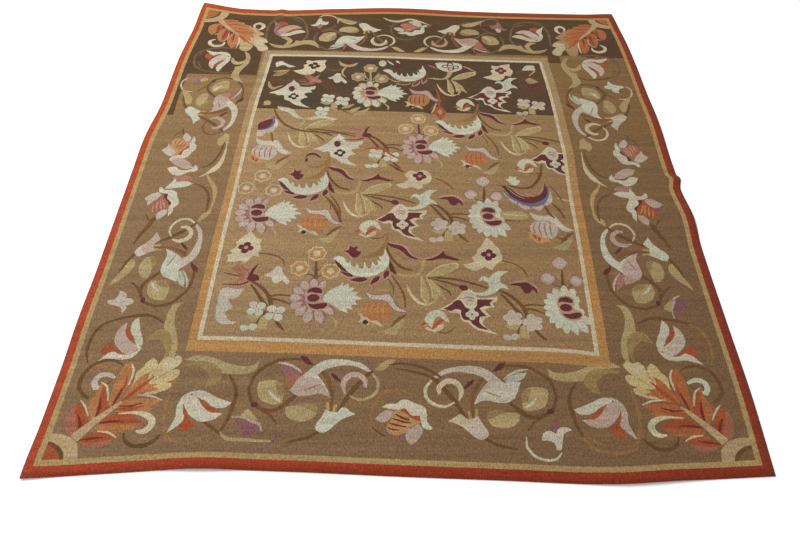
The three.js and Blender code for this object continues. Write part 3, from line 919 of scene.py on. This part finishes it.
def corner_leaf(warm="orange", curl="pearl", heart="rust"):
    """The great leaf that grows out of each near corner over a quarter circle."""
    made = line("stem", (166, 314, 4), (140, 330, 8), (112, 334, 10), (80, 320, 11), (62, 290, 11),
                (61, 252, 11), (78, 230, 10), (98, 216, 7))
    made += line("stem", (216, 120, 5), (226, 98, 10), (248, 85, 11), (276, 85, 12), (298, 98, 11),
                 (312, 114, 6))
    made += line(curl, (150, 278, 8), (132, 288, 13), (108, 286, 16), (98, 268, 16), (106, 248, 15),
                 (124, 252, 5))
    made += line("stem", (146, 276, 4), (136, 262, 7), (124, 254, 4))
    # The pale head of the leaf, lobed, and its warm root.
    made += area("hay", (196, 232), (203, 270), (202, 296), (216, 312), (224, 330), (237, 343), (248, 334),
                 (256, 318), (262, 336), (276, 347), (290, 342), (304, 350), (318, 338), (314, 322),
                 (304, 310), (290, 298), (308, 306), (320, 300), (318, 284), (306, 272), (288, 268),
                 (306, 262), (304, 248), (284, 238), (262, 230), (228, 230))
    made += area("cream", (264, 330), (278, 342), (292, 338), (304, 345), (313, 334), (309, 322),
                 (298, 310), (282, 308), (270, 316))
    made += line("leaf", (255, 318, 2), (252, 296, 4), (242, 276, 3))
    made += line("leaf", (290, 298, 2), (272, 284, 4), (252, 266, 3))
    made += area(warm, (186, 216), (190, 238), (206, 264), (222, 286), (242, 300), (238, 280), (246, 262),
                 (276, 262), (256, 252), (280, 244), (248, 236), (220, 220))
    # Three fingers on each side of the stem, each a warm half, a red half, a dark rib and a pale edge.
    made += area("salmon", (100, 112), (74, 120), (60, 148), (60, 184), (76, 208), (88, 186), (92, 150))
    made += area("rust", (78, 208), (94, 190), (106, 166), (124, 148), (118, 126), (98, 114), (90, 140),
                 (80, 166), (70, 190))
    made += line("oxblood", (84, 172, 3), (98, 146, 8), (104, 120, 5))
    made += line("ivory", (78, 212, 3), (94, 196, 6), (112, 168, 3))
    made += area(warm, (102, 198), (112, 232), (119, 264), (128, 244), (132, 206), (138, 172), (128, 150),
                 (114, 172))
    made += area("rust", (122, 264), (138, 240), (150, 208), (162, 190), (160, 176), (142, 160), (130, 180),
                 (126, 226))
    made += line("oxblood", (128, 220, 3), (134, 192, 9), (133, 158, 5))
    made += line("cream", (116, 266, 3), (134, 254, 6), (144, 232, 6), (150, 210, 3))
    made += area(warm, (152, 204), (154, 250), (156, 292), (168, 326), (184, 320), (193, 288), (190, 246),
                 (178, 214), (164, 190))
    made += line("rust", (180, 284, 3), (183, 262, 7), (176, 230, 9), (166, 196, 6))
    made += line("oxblood", (178, 248, 3), (172, 222, 7), (166, 196, 4))
    made += line("ivory", (184, 322, 4), (194, 298, 7), (192, 256, 3))
    made += area(warm, (160, 186), (176, 204), (240, 218), (292, 212), (282, 202), (264, 194), (276, 186),
                 (250, 176), (204, 174))
    made += line("rust", (172, 186, 6), (214, 186, 13), (250, 196, 3))
    made += line("oxblood", (180, 196, 3), (212, 195, 6), (242, 204, 3))
    made += line("ivory", (224, 228, 3), (262, 224, 6), (292, 213, 3))
    made += area(warm, (138, 134), (162, 150), (212, 152), (258, 148), (242, 134), (206, 122), (156, 122))
    made += area("rust", (142, 146), (166, 168), (206, 174), (236, 164), (258, 148), (226, 145), (180, 146))
    made += line("oxblood", (148, 146, 4), (176, 151, 7), (206, 152, 3))
    made += line("ivory", (188, 173, 3), (230, 176, 8), (264, 168, 16), (282, 148, 19), (270, 126, 17),
                 (246, 124, 6))
    made += area("salmon", (108, 94), (136, 82), (164, 78), (184, 92), (200, 106), (160, 104))
    made += area("rust", (106, 96), (124, 112), (156, 122), (186, 114), (204, 106), (172, 98), (136, 92))
    made += line("oxblood", (110, 100, 3), (140, 104, 7), (168, 108, 3))
    made += line("ivory", (148, 124, 3), (178, 120, 6), (202, 107, 3))
    made += line("sand", (96, 104, 27), (112, 126, 23), (142, 160, 18), (168, 188, 12), (196, 216, 5))
    made += line("rust", (188, 208, 6), (224, 250, 13), (254, 284, 3))
    # The quarter circle in the corner itself.
    made += area("sand", (26, 118), (60, 116), (92, 104), (112, 84), (122, 48), (90, 44), (24, 44))
    made += area("stem", (26, 97), (48, 93), (70, 80), (84, 62), (88, 42), (26, 40))
    return made + area(heart, (26, 88), (46, 84), (62, 72), (74, 58), (78, 40), (26, 38))


def far_corner_leaf(warm, pale):
    """The narrower leaf of the far corners, whose fingers lie close along its stem."""
    made = line("ivory", (101, 255, 5), (83, 270, 14), (86, 295, 16), (111, 310, 16), (136, 300, 14),
                (141, 276, 5))
    made += line("ivory", (246, 150, 8), (244, 126, 13), (262, 112, 16), (280, 126, 17), (280, 152, 14),
                 (264, 172, 6))
    made += area(pale, (106, 92), (146, 88), (172, 96), (168, 104), (200, 112), (196, 122), (232, 138),
                 (228, 146), (262, 160), (258, 170), (292, 200), (290, 212), (268, 218), (306, 245),
                 (318, 270), (300, 280), (324, 318), (316, 340), (291, 342), (276, 316), (261, 298),
                 (254, 330), (236, 346), (212, 332), (204, 290), (196, 240), (176, 208), (150, 170),
                 (110, 120))
    made += area("cream", (262, 252), (290, 246), (306, 250), (317, 270), (298, 282), (322, 318),
                 (314, 338), (292, 340), (276, 314), (262, 292))
    made += area(warm, (106, 92), (144, 89), (170, 98), (168, 106), (198, 114), (194, 124), (226, 140),
                 (224, 150), (250, 172), (240, 180), (262, 204), (244, 208), (258, 236), (236, 232),
                 (248, 262), (226, 252), (222, 276), (206, 250), (190, 224), (150, 172), (112, 122))
    made += line("rust", (114, 112, 4), (142, 102, 9), (172, 106, 3))
    made += line("rust", (128, 132, 4), (166, 128, 10), (204, 138, 3))
    made += line("rust", (146, 156, 4), (186, 160, 10), (226, 176, 3))
    made += line("rust", (164, 180, 4), (198, 192, 9), (236, 208, 3))
    made += line("rust", (180, 202, 10), (212, 244, 13), (252, 290, 3))
    made += line("moss", (238, 272, 2), (262, 296, 4), (284, 322, 2))
    made += area(warm, (102, 126), (78, 130), (60, 146), (56, 176), (66, 204), (80, 218), (92, 200),
                 (99, 170), (110, 144))
    made += area("rust", (100, 132), (112, 146), (112, 168), (106, 192), (98, 196), (92, 172), (88, 148))
    made += line("oxblood", (98, 146, 4), (98, 168, 6), (92, 196, 2))
    made += line("ivory", (108, 188, 2), (102, 208, 4), (90, 218, 3))
    made += area(warm, (140, 160), (120, 164), (106, 184), (102, 214), (106, 246), (120, 274), (134, 256),
                 (140, 228), (150, 190))
    made += area("rust", (136, 164), (150, 186), (150, 222), (138, 256), (127, 270), (122, 242), (124, 200))
    made += line("oxblood", (134, 176, 4), (134, 206, 7), (128, 240, 3))
    made += line("ivory", (147, 208, 3), (149, 236, 5), (138, 264, 4), (123, 274, 3))
    made += area(warm, (176, 198), (156, 210), (148, 240), (149, 268), (158, 296), (178, 328), (192, 300),
                 (196, 262), (192, 222))
    made += line("rust", (172, 208, 12), (168, 240, 13), (172, 276, 4))
    made += line("oxblood", (170, 212, 4), (172, 240, 5), (174, 264, 2))
    made += line("ivory", (194, 238, 4), (199, 276, 8), (194, 322, 4))
    made += line("sand", (92, 94, 26), (112, 124, 20), (138, 158, 15), (166, 190, 12), (190, 216, 5))
    made += area("sand", (28, 120), (62, 116), (88, 106), (106, 88), (118, 66), (124, 12), (90, 10),
                 (26, 60))
    made += area("stem", (28, 96), (50, 92), (72, 80), (86, 62), (91, 10), (26, 10))
    return made + area("copper", (28, 88), (48, 84), (64, 72), (76, 56), (80, 10), (26, 10))


def side_middle():
    """The stems that meet half way up each side, with two small pale crescents between them."""
    made = line("stem", (268, 1256, 5), (263, 1204, 9), (248, 1152, 10), (226, 1124, 8), (202, 1112, 5))
    made += line("stem", (204, 1036, 5), (238, 1018, 8), (262, 982, 9), (270, 930, 8), (270, 902, 5))
    made += line("cream", (276, 1256, 2), (279, 1204, 7), (274, 1150, 16), (258, 1112, 22), (232, 1084, 8),
                 (214, 1070, 3))
    made += line("straw", (234, 1088, 4), (252, 1056, 12), (274, 1020, 16), (284, 976, 11), (284, 930, 6),
                 (280, 902, 2))
    made += area("lilac", (94, 1162), (128, 1166), (164, 1142), (182, 1116), (160, 1110), (138, 1116),
                 (104, 1138))
    made += area("milk", (92, 1112), (110, 1086), (140, 1074), (170, 1092), (196, 1100), (198, 1116),
                 (186, 1132), (180, 1112), (158, 1102), (138, 1104), (118, 1120))
    made += area("rose", (120, 1068), (150, 1075), (182, 1070), (194, 1054), (164, 1045), (140, 1044),
                 (128, 1054))
    made += area("milk", (106, 1008), (120, 1034), (134, 1064), (138, 1044), (176, 1046), (198, 1036),
                 (180, 1022), (150, 1014))
    return made


def bay(tulip, bell, trumpet, small, hooded, far, low_leaf=False):
    """The drawings of one half side, from its corner to its middle, in the yarns of that half side. The
    scroll leaf is broader in the half sides of the far end."""
    made = tulip_bay(**tulip) + bud_bay(low_leaf) + trumpet_bay(*trumpet) + bell_bay(**bell)
    made += small + hooded + scroll_leaf(far)
    return made


def border_drawings():
    """Everything that is woven in the border. Each half side is one bay, drawn along u from its corner and
    in along v, so the eight bays are one drawing laid and turned over, with some yarns exchanged."""
    rosy = {"bell": "lilac", "vein": "mauve", "side": "salmon", "low": "mauve", "arch": "milk",
            "curl": "lilac"}
    pale = {"bell": "milk", "vein": "moss", "side": "mint", "low": "sea", "arch": "pearl", "curl": "cream",
            "ring": "ivory"}
    mint = ("mint", "mint", "mint")
    dim = {"heart": "pearl", "ring": "taupe", "outer": "taupe"}
    rose_heart = hooded_flower("salmon", "pink", "maroon", "pearl")
    bays = [
        ((0, 0), (1, 0), (0, 1),
         bay({}, rosy, mint, violet_bay(), hooded_flower(ring="honey"), False, low_leaf=True)),
        ((1895, -20), (-1.03, 0), (0, 1),
         bay({"heart": "lilac", "side": "lilac", "outer": "honey"}, pale, ("pearl", "pearl", "cream"),
             fleur_bay(), [], False)),
        ((-27, 0), (0, 1), (0.92, 0),
         bay({"heart": "lilac", "side": "milk", "outer": "stem"}, pale | {"bell": "mint"},
             ("lilac", "milk", "lilac"),
             fleur_bay("pearl", "pearl", "border") + outer_stem(True) + tip_leaf(), rose_heart, False)),
        ((-27, 2167), (0, -1), (0.92, 0),
         bay(dim, rosy | {"side": "rose", "ring": "wood"}, mint,
             fleur_bay("mauve", "leaf", "cream") + outer_stem() + tip_leaf(True),
             hooded_flower("peach", "copper", "rust", "pearl"), True)),
        ((1922, 0), (0, 1), (-1, 0),
         bay({"heart": "pearl", "ring": "border", "outer": "honey"},
             rosy | {"side": "blush", "low": "rose", "arch": "mint", "ring": "cream"},
             mint, violet_bay() + outer_stem(True) + tip_leaf(),
             hooded_flower("rust", "gold", "maroon"), False)),
        ((1930, 2170), (0, -1), (-1, 0),
         bay(dim, pale | {"bell": "mint"}, ("pearl", "pearl", "pearl"),
             fleur_bay("mint", "mint", "pearl") + outer_stem() + tip_leaf(True), rose_heart, True)),
        ((10, 2200), (1, 0), (0, -1),
         bay(dim | {"heart": "blush", "side": "mauve"}, pale | {"bell": "mint"}, (),
             fleur_bay("milk", "mauve") + outer_stem() + tip_leaf(),
             hooded_flower("salmon", "pink", "maroon", "pearl", "taupe"), True)),
        ((1882, 2200), (-1, 0), (0, -1),
         bay(dim, rosy | {"bell": "blush", "curl": "pink", "ring": "cream"}, (),
             fleur_bay("mauve", "cream", "mauve") + outer_stem() + tip_leaf(), [], True)),
    ]
    made = []
    for start, along, inward, drawings in bays:
        dark_ground = inward == (0, -1)
        made += laid(drawings, start, along, inward, "taupe" if dark_ground else "stem")
    made += laid(side_middle(), (0, 0), (1, 0), (0, 1)) + laid(side_middle(), (1872, -22), (-1, 0), (0, 1))
    made += laid(tip_leaf(), (0, 0), (1, 0), (0, 1))
    made += line("stem", (898, 322, 4), (932, 326, 8), (980, 318, 9), (1020, 300, 9), (1046, 280, 6))
    made += line("stem", (910, 312, 3), (960, 301, 8), (1000, 290, 8), (1038, 272, 4))
    made += line("cream", (826, 2124, 3), (860, 2102, 11), (900, 2098, 14), (946, 2116, 12),
                 (990, 2102, 10), (1042, 2072, 3))
    made += laid(corner_leaf(), (0, 0), (1, 0), (0, 1))
    made += laid(corner_leaf("copper", "mint", "border"), (1893, -14), (-1.02, 0), (0, 1))
    made += laid(far_corner_leaf("orange", "sand"), (0, 2162), (1.05, 0), (0, -0.93))
    made += laid(far_corner_leaf("copper", "tan"), (1896, 2200), (-1, 0), (0, -1))
    return made


def even_odd(loops, points):
    """Which points lie inside the loops: those from which a ray crosses their edges an odd number of
    times."""
    inside = np.zeros(len(points), bool)
    low = np.min([loop.min(0) for loop in loops], axis=0)
    high = np.max([loop.max(0) for loop in loops], axis=0)
    near = np.flatnonzero(((points >= low) & (points <= high)).all(1))
    x, y = points[near].T
    odd = np.zeros(len(near), bool)
    for loop in loops:
        a, b = loop, np.roll(loop, -1, 0)
        rise = np.where(a[:, 1] == b[:, 1], 1e-9, b[:, 1] - a[:, 1])
        for (ax, ay), (bx, by), r in zip(a, b, rise):
            odd ^= ((ay > y) != (by > y)) & (x < ax + (y - ay) * (bx - ax) / r)
    inside[near] = odd
    return inside


def plain(yarn, *corners):
    """A ground of one yarn with straight edges."""
    return yarn, [np.array(corners, float)]


def picture():
    """Every colour area of the rug, from the back to the front, as (yarn, loops)."""
    rim = rectangle(0, 0, 0, 0, RIM_PITCH)
    made = [("field", [rim])]
    made.append(plain("peat", (300, 1458), (1600, 1444), (1600, 1850), (300, 1850)))
    patches = area("sepia", (376, 1668), (440, 1690), (540, 1676), (590, 1640), (560, 1600), (470, 1612),
                   (390, 1606))
    patches += area("slate", (500, 1560), (580, 1556), (600, 1500), (540, 1470), (496, 1510))
    patches += area("sepia", (860, 1640), (1000, 1622), (1060, 1580), (1030, 1470), (1080, 1464),
                    (1100, 1600), (980, 1660))
    patches += area("sepia", (1400, 1760), (1500, 1740), (1510, 1600), (1440, 1560), (1400, 1640))
    patches += area("slate", (690, 1800), (810, 1796), (800, 1730), (720, 1700))
    patches += area("sepia", (572, 1630), (602, 1646), (634, 1612), (662, 1580), (664, 1530), (648, 1526),
                    (640, 1560), (608, 1592))
    made += [(yarn, [loop]) for yarn, loop in patches + field_drawings()]
    made.append(("border", [rim, field_loop(20, 20, 20, 20)]))
    made.append(plain("bark", (-40, 1852), (14, 1852), (14, 1406), (46, 1406), (40, 1500), (40, 1672),
                      (320, 1672), (320, 1854), (1548, 1854), (1548, 1802), (1600, 1802), (1600, 1862),
                      (1700, 1862), (1700, 1850), (1940, 1850), (1940, 2240), (-40, 2240)))
    made.append(plain("loam", (10, 1680), (310, 1680), (310, 1864), (1560, 1858), (1860, 1864),
                      (1868, 2030), (1500, 2084), (1100, 2070), (800, 2096), (400, 2066), (10, 2096)))
    made += [(yarn, [loop]) for yarn, loop in border_drawings()]
    made.append(("gold", [field_loop(39, 43, 52, 40), field_loop(10, 10, 10, 10)]))
    made.append(("ivory", [field_loop(15, 15, 15, 15), field_loop(2, 2, 2, 2)]))
    made.append(("straw", [rim, rectangle(37, 42, 44, 50, RIM_PITCH)]))
    made.append(("brick", [rim, rectangle(22, 27, 29, 35, RIM_PITCH)]))
    return rim, made


def even_grid(pitch):
    """Points on an even grid inside the rug's rim."""
    across = np.arange(pitch, WIDTH - GRID_MARGIN, pitch)
    away = np.arange(pitch, LENGTH - GRID_MARGIN, pitch)
    x, y = np.meshgrid(across, away)
    return as_woven(x.ravel(), y.ravel())


def facing_up(verts, faces):
    """The points and the triangles as arrays, each triangle turned to face up, without those of no area."""
    verts = np.array([v[:] for v in verts])
    faces = np.array([f for f in faces if len(f) == 3])
    a, b, c = verts[faces[:, 0]], verts[faces[:, 1]], verts[faces[:, 2]]
    turn = (b[:, 0] - a[:, 0]) * (c[:, 1] - a[:, 1]) - (b[:, 1] - a[:, 1]) * (c[:, 0] - a[:, 0])
    faces[turn < 0] = faces[turn < 0][:, ::-1]
    return verts, faces[np.abs(turn) > 1e-4]


def underside(plan, edge):
    """The plan of the underside, a plain even grid inside the face's own rim points: its points, its
    triangles, and its edges under the face's rim edges."""
    round_rim = np.unique(edge)
    points = np.concatenate([plan[round_rim], even_grid(UNDER_PITCH)])
    ring = np.searchsorted(round_rim, edge)
    verts, _, faces, sources, _, _ = delaunay_2d_cdt(
        [Vector(p) for p in points], ring.tolist(), [], 1, 1e-4)
    number = np.zeros(len(points), int)
    for i, found in enumerate(sources):
        number[found] = i
    verts, faces = facing_up(verts, faces)
    return verts, faces, number[ring]


def triangulated(rim, shapes):
    """The rug's plan as triangles whose edges follow every colour's edge, and each triangle's topmost
    shape."""
    points, edges, start = [], [], 0
    loops = [rim] + [loop for _, found in shapes for loop in found if loop is not rim]
    for loop in loops:
        wander = 0.0 if loop is rim else STRAY
        points.append(loop + rng.uniform(-wander, wander, loop.shape))
        n = np.arange(len(loop))
        edges.append(start + np.c_[n, np.roll(n, -1)])
        start += len(loop)
    points.append(even_grid(GRID_PITCH))
    flat = np.concatenate(points)
    inside = even_odd([rim], flat)
    inside[:len(rim)] = True
    keep = np.flatnonzero(inside)
    number = np.cumsum(inside) - 1
    wanted = np.concatenate(edges)
    wanted = number[wanted[inside[wanted].all(1)]]
    verts, _, faces, _, _, _ = delaunay_2d_cdt(
        [Vector(p) for p in flat[keep]], wanted.tolist(), [], 1, SAME_POINT)
    verts, faces = facing_up(verts, faces)
    middles = verts[faces].mean(1)
    top = np.zeros(len(faces), int)
    for k, (_, found) in enumerate(shapes):
        top[even_odd(found, middles)] = k
    return verts, faces, top


def linear(colour):
    """A colour in daylight as the linear red, green and blue that a shader works in, darker by the exposure
    that turns the pale floor white."""
    c = np.array(colour, float) / 255
    return np.where(c <= 0.04045, c / 12.92, ((c + 0.055) / 1.055) ** 2.4) * EXPOSURE


def dyed_and_shaded(shapes, shape_of, places):
    """The colour of every triangle: its yarn's own, which in some yarns turns to another dye lot at the far
    end by the smooth step v^2 * (3 - 2 * v), the border's near colour also holding painted shade at the near
    end, and painted shade that makes it darker and warmer towards the right by colour * (1 - depth * RIGHT *
    x / width), standing in for light that falls off across the rug. Each shape differs a little from the
    next."""
    u = np.clip(places[:, :1] / WIDTH, 0, 1)
    v = np.clip((places[:, 1:2] / LENGTH - FAR_CHANGE_START) / FAR_CHANGE_SPAN, 0, 1)
    v = v * v * (3 - 2 * v)
    near = np.array([linear(YARN[yarn]) for yarn, _ in shapes])[shape_of]
    far = np.array([linear(FAR_END.get(yarn, YARN[yarn])) for yarn, _ in shapes])[shape_of]
    # Each yarn's share of the painted shade towards the right.
    depth = np.array([RIGHT_SHADE_SHARE.get(yarn, OTHERS_RIGHT_SHADE_SHARE) for yarn, _ in shapes])[shape_of][:, None]
    count = len(shapes)
    tint = 1 + rng.normal(0, UNEVEN_LIGHT, (count, 1)) + rng.normal(0, UNEVEN_HUE, (count, 3))
    return (near * (1 - v) + far * v) * (1 - depth * u * RIGHT) * tint[shape_of]


def rim_edges(faces, count):
    """The edges of a sheet of triangles that only one triangle has, and those triangles."""
    sides = np.concatenate([faces[:, [0, 1]], faces[:, [1, 2]], faces[:, [2, 0]]])
    owner = np.tile(np.arange(len(faces)), 3)
    key = np.sort(sides, axis=1) @ (count, 1)
    _, first, uses = np.unique(key, return_index=True, return_counts=True)
    lone = first[uses == 1]
    return sides[lone], owner[lone]


def bake_places(plan, size, under):
    """Places on the baked picture: the face fills the upper nine tenths of it, and the underside and the wall
    lie in the strip below."""
    spot = (plan + size / 2) / size
    spot[:, 1] = np.where(under, 0.01 + spot[:, 1] * 0.07, 0.1 + spot[:, 1] * 0.89)
    spot[:, 0] = 0.005 + spot[:, 0] * 0.99
    return spot


def rug():
    """The whole cloth as one closed sheet: the plan's triangles at height lift + thickness for the face,
    plain triangles turned over at height lift for the underside, and a wall round the rim."""
    rim, shapes = picture()
    plan, faces, top = triangulated(rim, shapes)
    n = len(plan)
    edge, edge_owner = rim_edges(faces, n)
    below, below_faces, below_edge = underside(plan, edge)
    low = below_edge + n
    middle = (rim.min(0) + rim.max(0)) / 2
    upper = np.c_[plan - middle, lift_at(plan) + THICK]
    lower = np.c_[below - middle, lift_at(below)]
    co = np.concatenate([upper, lower]) / 1000
    wall = np.concatenate([np.c_[edge[:, 1], edge[:, 0], low[:, 0]], np.c_[edge[:, 1], low[:, 0],
                                                                           low[:, 1]]])
    triangles = np.concatenate([faces, below_faces[:, ::-1] + n, wall])
    shape_of = np.concatenate([top, np.zeros(len(below_faces), int), np.tile(top[edge_owner], 2)])
    colour = dyed_and_shaded(shapes, shape_of, co[triangles, :2].mean(1) * 1000 + middle)
    mesh = bpy.data.meshes.new("tapestry_rug")
    mesh.from_pydata(co.tolist(), [], triangles.tolist())
    flat_side = np.zeros(len(triangles), bool)
    flat_side[len(faces) + len(below_faces):] = True
    mesh.polygons.foreach_set("use_smooth", ~flat_side)
    yarn = mesh.color_attributes.new("yarn", "FLOAT_COLOR", "CORNER")
    rgba = np.c_[colour, np.ones(len(triangles))]
    yarn.data.foreach_set("color", np.repeat(rgba, 3, axis=0).astype(np.float32).ravel())
    bake = mesh.uv_layers.new(name="OFBake")
    size = (rim.max(0) - rim.min(0)) / 1000
    under = np.repeat(np.arange(len(triangles)) >= len(faces), 3)
    spot = bake_places(co[triangles.ravel(), :2], size, under)
    bake.data.foreach_set("uv", spot.astype(np.float32).ravel())
    mesh.update()
    piece = bpy.data.objects.new("tapestry_rug", mesh)
    bpy.context.scene.collection.objects.link(piece)
    print("rug", len(plan), "points", len(triangles), "triangles", len(shapes), "shapes")
    return piece


def new_material(name, roughness):
    """A material with one Principled shader of a given roughness."""
    material = bpy.data.materials.new(name)
    material.use_nodes = True
    shader = material.node_tree.nodes["Principled BSDF"]
    shader.inputs["Roughness"].default_value = roughness
    shader.inputs["Specular IOR Level"].default_value = 0.12
    return material, shader


def woven_wool():
    """Wool weft over cotton warp: the yarn's own colour, streaked along the weft by uneven dye, with a fine
    fleck where the warp grins through, and ribs from the warp."""
    material, shader = new_material("woven_wool", 0.93)
    nodes, links = material.node_tree.nodes, material.node_tree.links
    yarn = nodes.new("ShaderNodeAttribute")
    yarn.attribute_name = "yarn"
    place = nodes.new("ShaderNodeTexCoord")

    def noise(scale, stretch, detail, rough):
        sized = nodes.new("ShaderNodeMapping")
        sized.inputs["Scale"].default_value = stretch
        links.new(place.outputs["Object"], sized.inputs["Vector"])
        found = nodes.new("ShaderNodeTexNoise")
        found.inputs["Scale"].default_value = scale
        found.inputs["Detail"].default_value = detail
        found.inputs["Roughness"].default_value = rough
        links.new(sized.outputs["Vector"], found.inputs["Vector"])
        return found.outputs["Fac"]

    def ranged(value, low, high, to_low, to_high):
        found = nodes.new("ShaderNodeMapRange")
        for name, number in (("From Min", low), ("From Max", high), ("To Min", to_low),
                             ("To Max", to_high)):
            found.inputs[name].default_value = number
        links.new(value, found.inputs["Value"])
        return found.outputs["Result"]

    def product(a, b):
        found = nodes.new("ShaderNodeMath")
        found.operation = "MULTIPLY"
        links.new(a, found.inputs[0])
        links.new(b, found.inputs[1])
        return found.outputs["Value"]

    abrash = ranged(noise(1.0, (1.2, 34, 1), 4, 0.6), 0.3, 0.7, 0.85, 1.15)
    streak = ranged(noise(1.0, (30, 190, 1), 3, 0.6), 0.3, 0.7, 0.89, 1.11)
    ribbed = ranged(noise(1.0, (250, 40, 1), 2, 0.6), 0.3, 0.7, 0.85, 1.15)
    heather = ranged(noise(1.0, (320, 140, 1), 2, 0.7), 0.3, 0.7, 0.6, 1.4)
    gain = product(product(abrash, streak), product(ribbed, heather))
    mottled = nodes.new("ShaderNodeVectorMath")
    mottled.operation = "SCALE"
    links.new(yarn.outputs["Color"], mottled.inputs["Vector"])
    links.new(gain, mottled.inputs["Scale"])
    links.new(mottled.outputs["Vector"], shader.inputs["Base Color"])
    rib = nodes.new("ShaderNodeTexWave")
    rib.wave_profile = "SIN"
    # The bands of this node repeat every 2 * pi / (20 * scale) metres.
    rib.inputs["Scale"].default_value = 2 * math.pi / (20 * RIB_SPACING / 1000)
    rib.inputs["Distortion"].default_value = 0.6
    links.new(place.outputs["Object"], rib.inputs["Vector"])
    bump = nodes.new("ShaderNodeBump")
    bump.inputs["Strength"].default_value = 0.3
    bump.inputs["Distance"].default_value = 0.0006
    links.new(rib.outputs["Fac"], bump.inputs["Height"])
    links.new(bump.outputs["Normal"], shader.inputs["Normal"])
    shader.inputs["Sheen Weight"].default_value = 0.03
    shader.inputs["Sheen Roughness"].default_value = 0.6
    return material


def floor():
    """A plain pale floor."""
    bpy.ops.mesh.primitive_plane_add(size=14)
    slab = bpy.context.object
    slab.name = "floor"
    material, shader = new_material("pale_floor", 0.6)
    shader.inputs["Base Color"].default_value = (0.93, 0.93, 0.92, 1)
    slab.data.materials.append(material)
    return slab


def soft_light(name, place, size, watts):
    """A square lamp that faces the middle of the rug."""
    lamp = bpy.data.lights.new(name, "AREA")
    lamp.shape = "SQUARE"
    lamp.size = size
    lamp.energy = watts
    holder = bpy.data.objects.new(name, lamp)
    holder.location = place
    holder.rotation_euler = (-Vector(place)).to_track_quat("-Z", "Y").to_euler()
    bpy.context.scene.collection.objects.link(holder)


def studio():
    """Even white light from all sides and one large soft lamp above the far left."""
    world = bpy.data.worlds.new("studio")
    world.use_nodes = True
    world.node_tree.nodes["Background"].inputs["Color"].default_value = (1, 1, 1, 1)
    world.node_tree.nodes["Background"].inputs["Strength"].default_value = 0.75
    bpy.context.scene.world = world
    soft_light("large_lamp", (-1.6, 1.2, 3.4), 2.6, 150)
    bpy.context.scene.view_settings.view_transform = "Standard"


def camera():
    """The eye of the photograph: a short lens held at head height over the near end, looking down."""
    lens = bpy.data.cameras.new("camera")
    lens.sensor_width = 36
    lens.lens = 28.368
    lens.shift_x = -0.04038
    lens.shift_y = 0.00505
    holder = bpy.data.objects.new("camera", lens)
    holder.location = (-0.0049, -1.65868, 1.57487)
    holder.rotation_euler = (math.radians(37.9375), math.radians(-2.0408), math.radians(-0.9646))
    bpy.context.scene.collection.objects.link(holder)
    bpy.context.scene.camera = holder


camera()
cloth = rug()
cloth.data.materials.append(woven_wool())
ground = floor()
studio()
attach(cloth, "root")
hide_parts("rug")
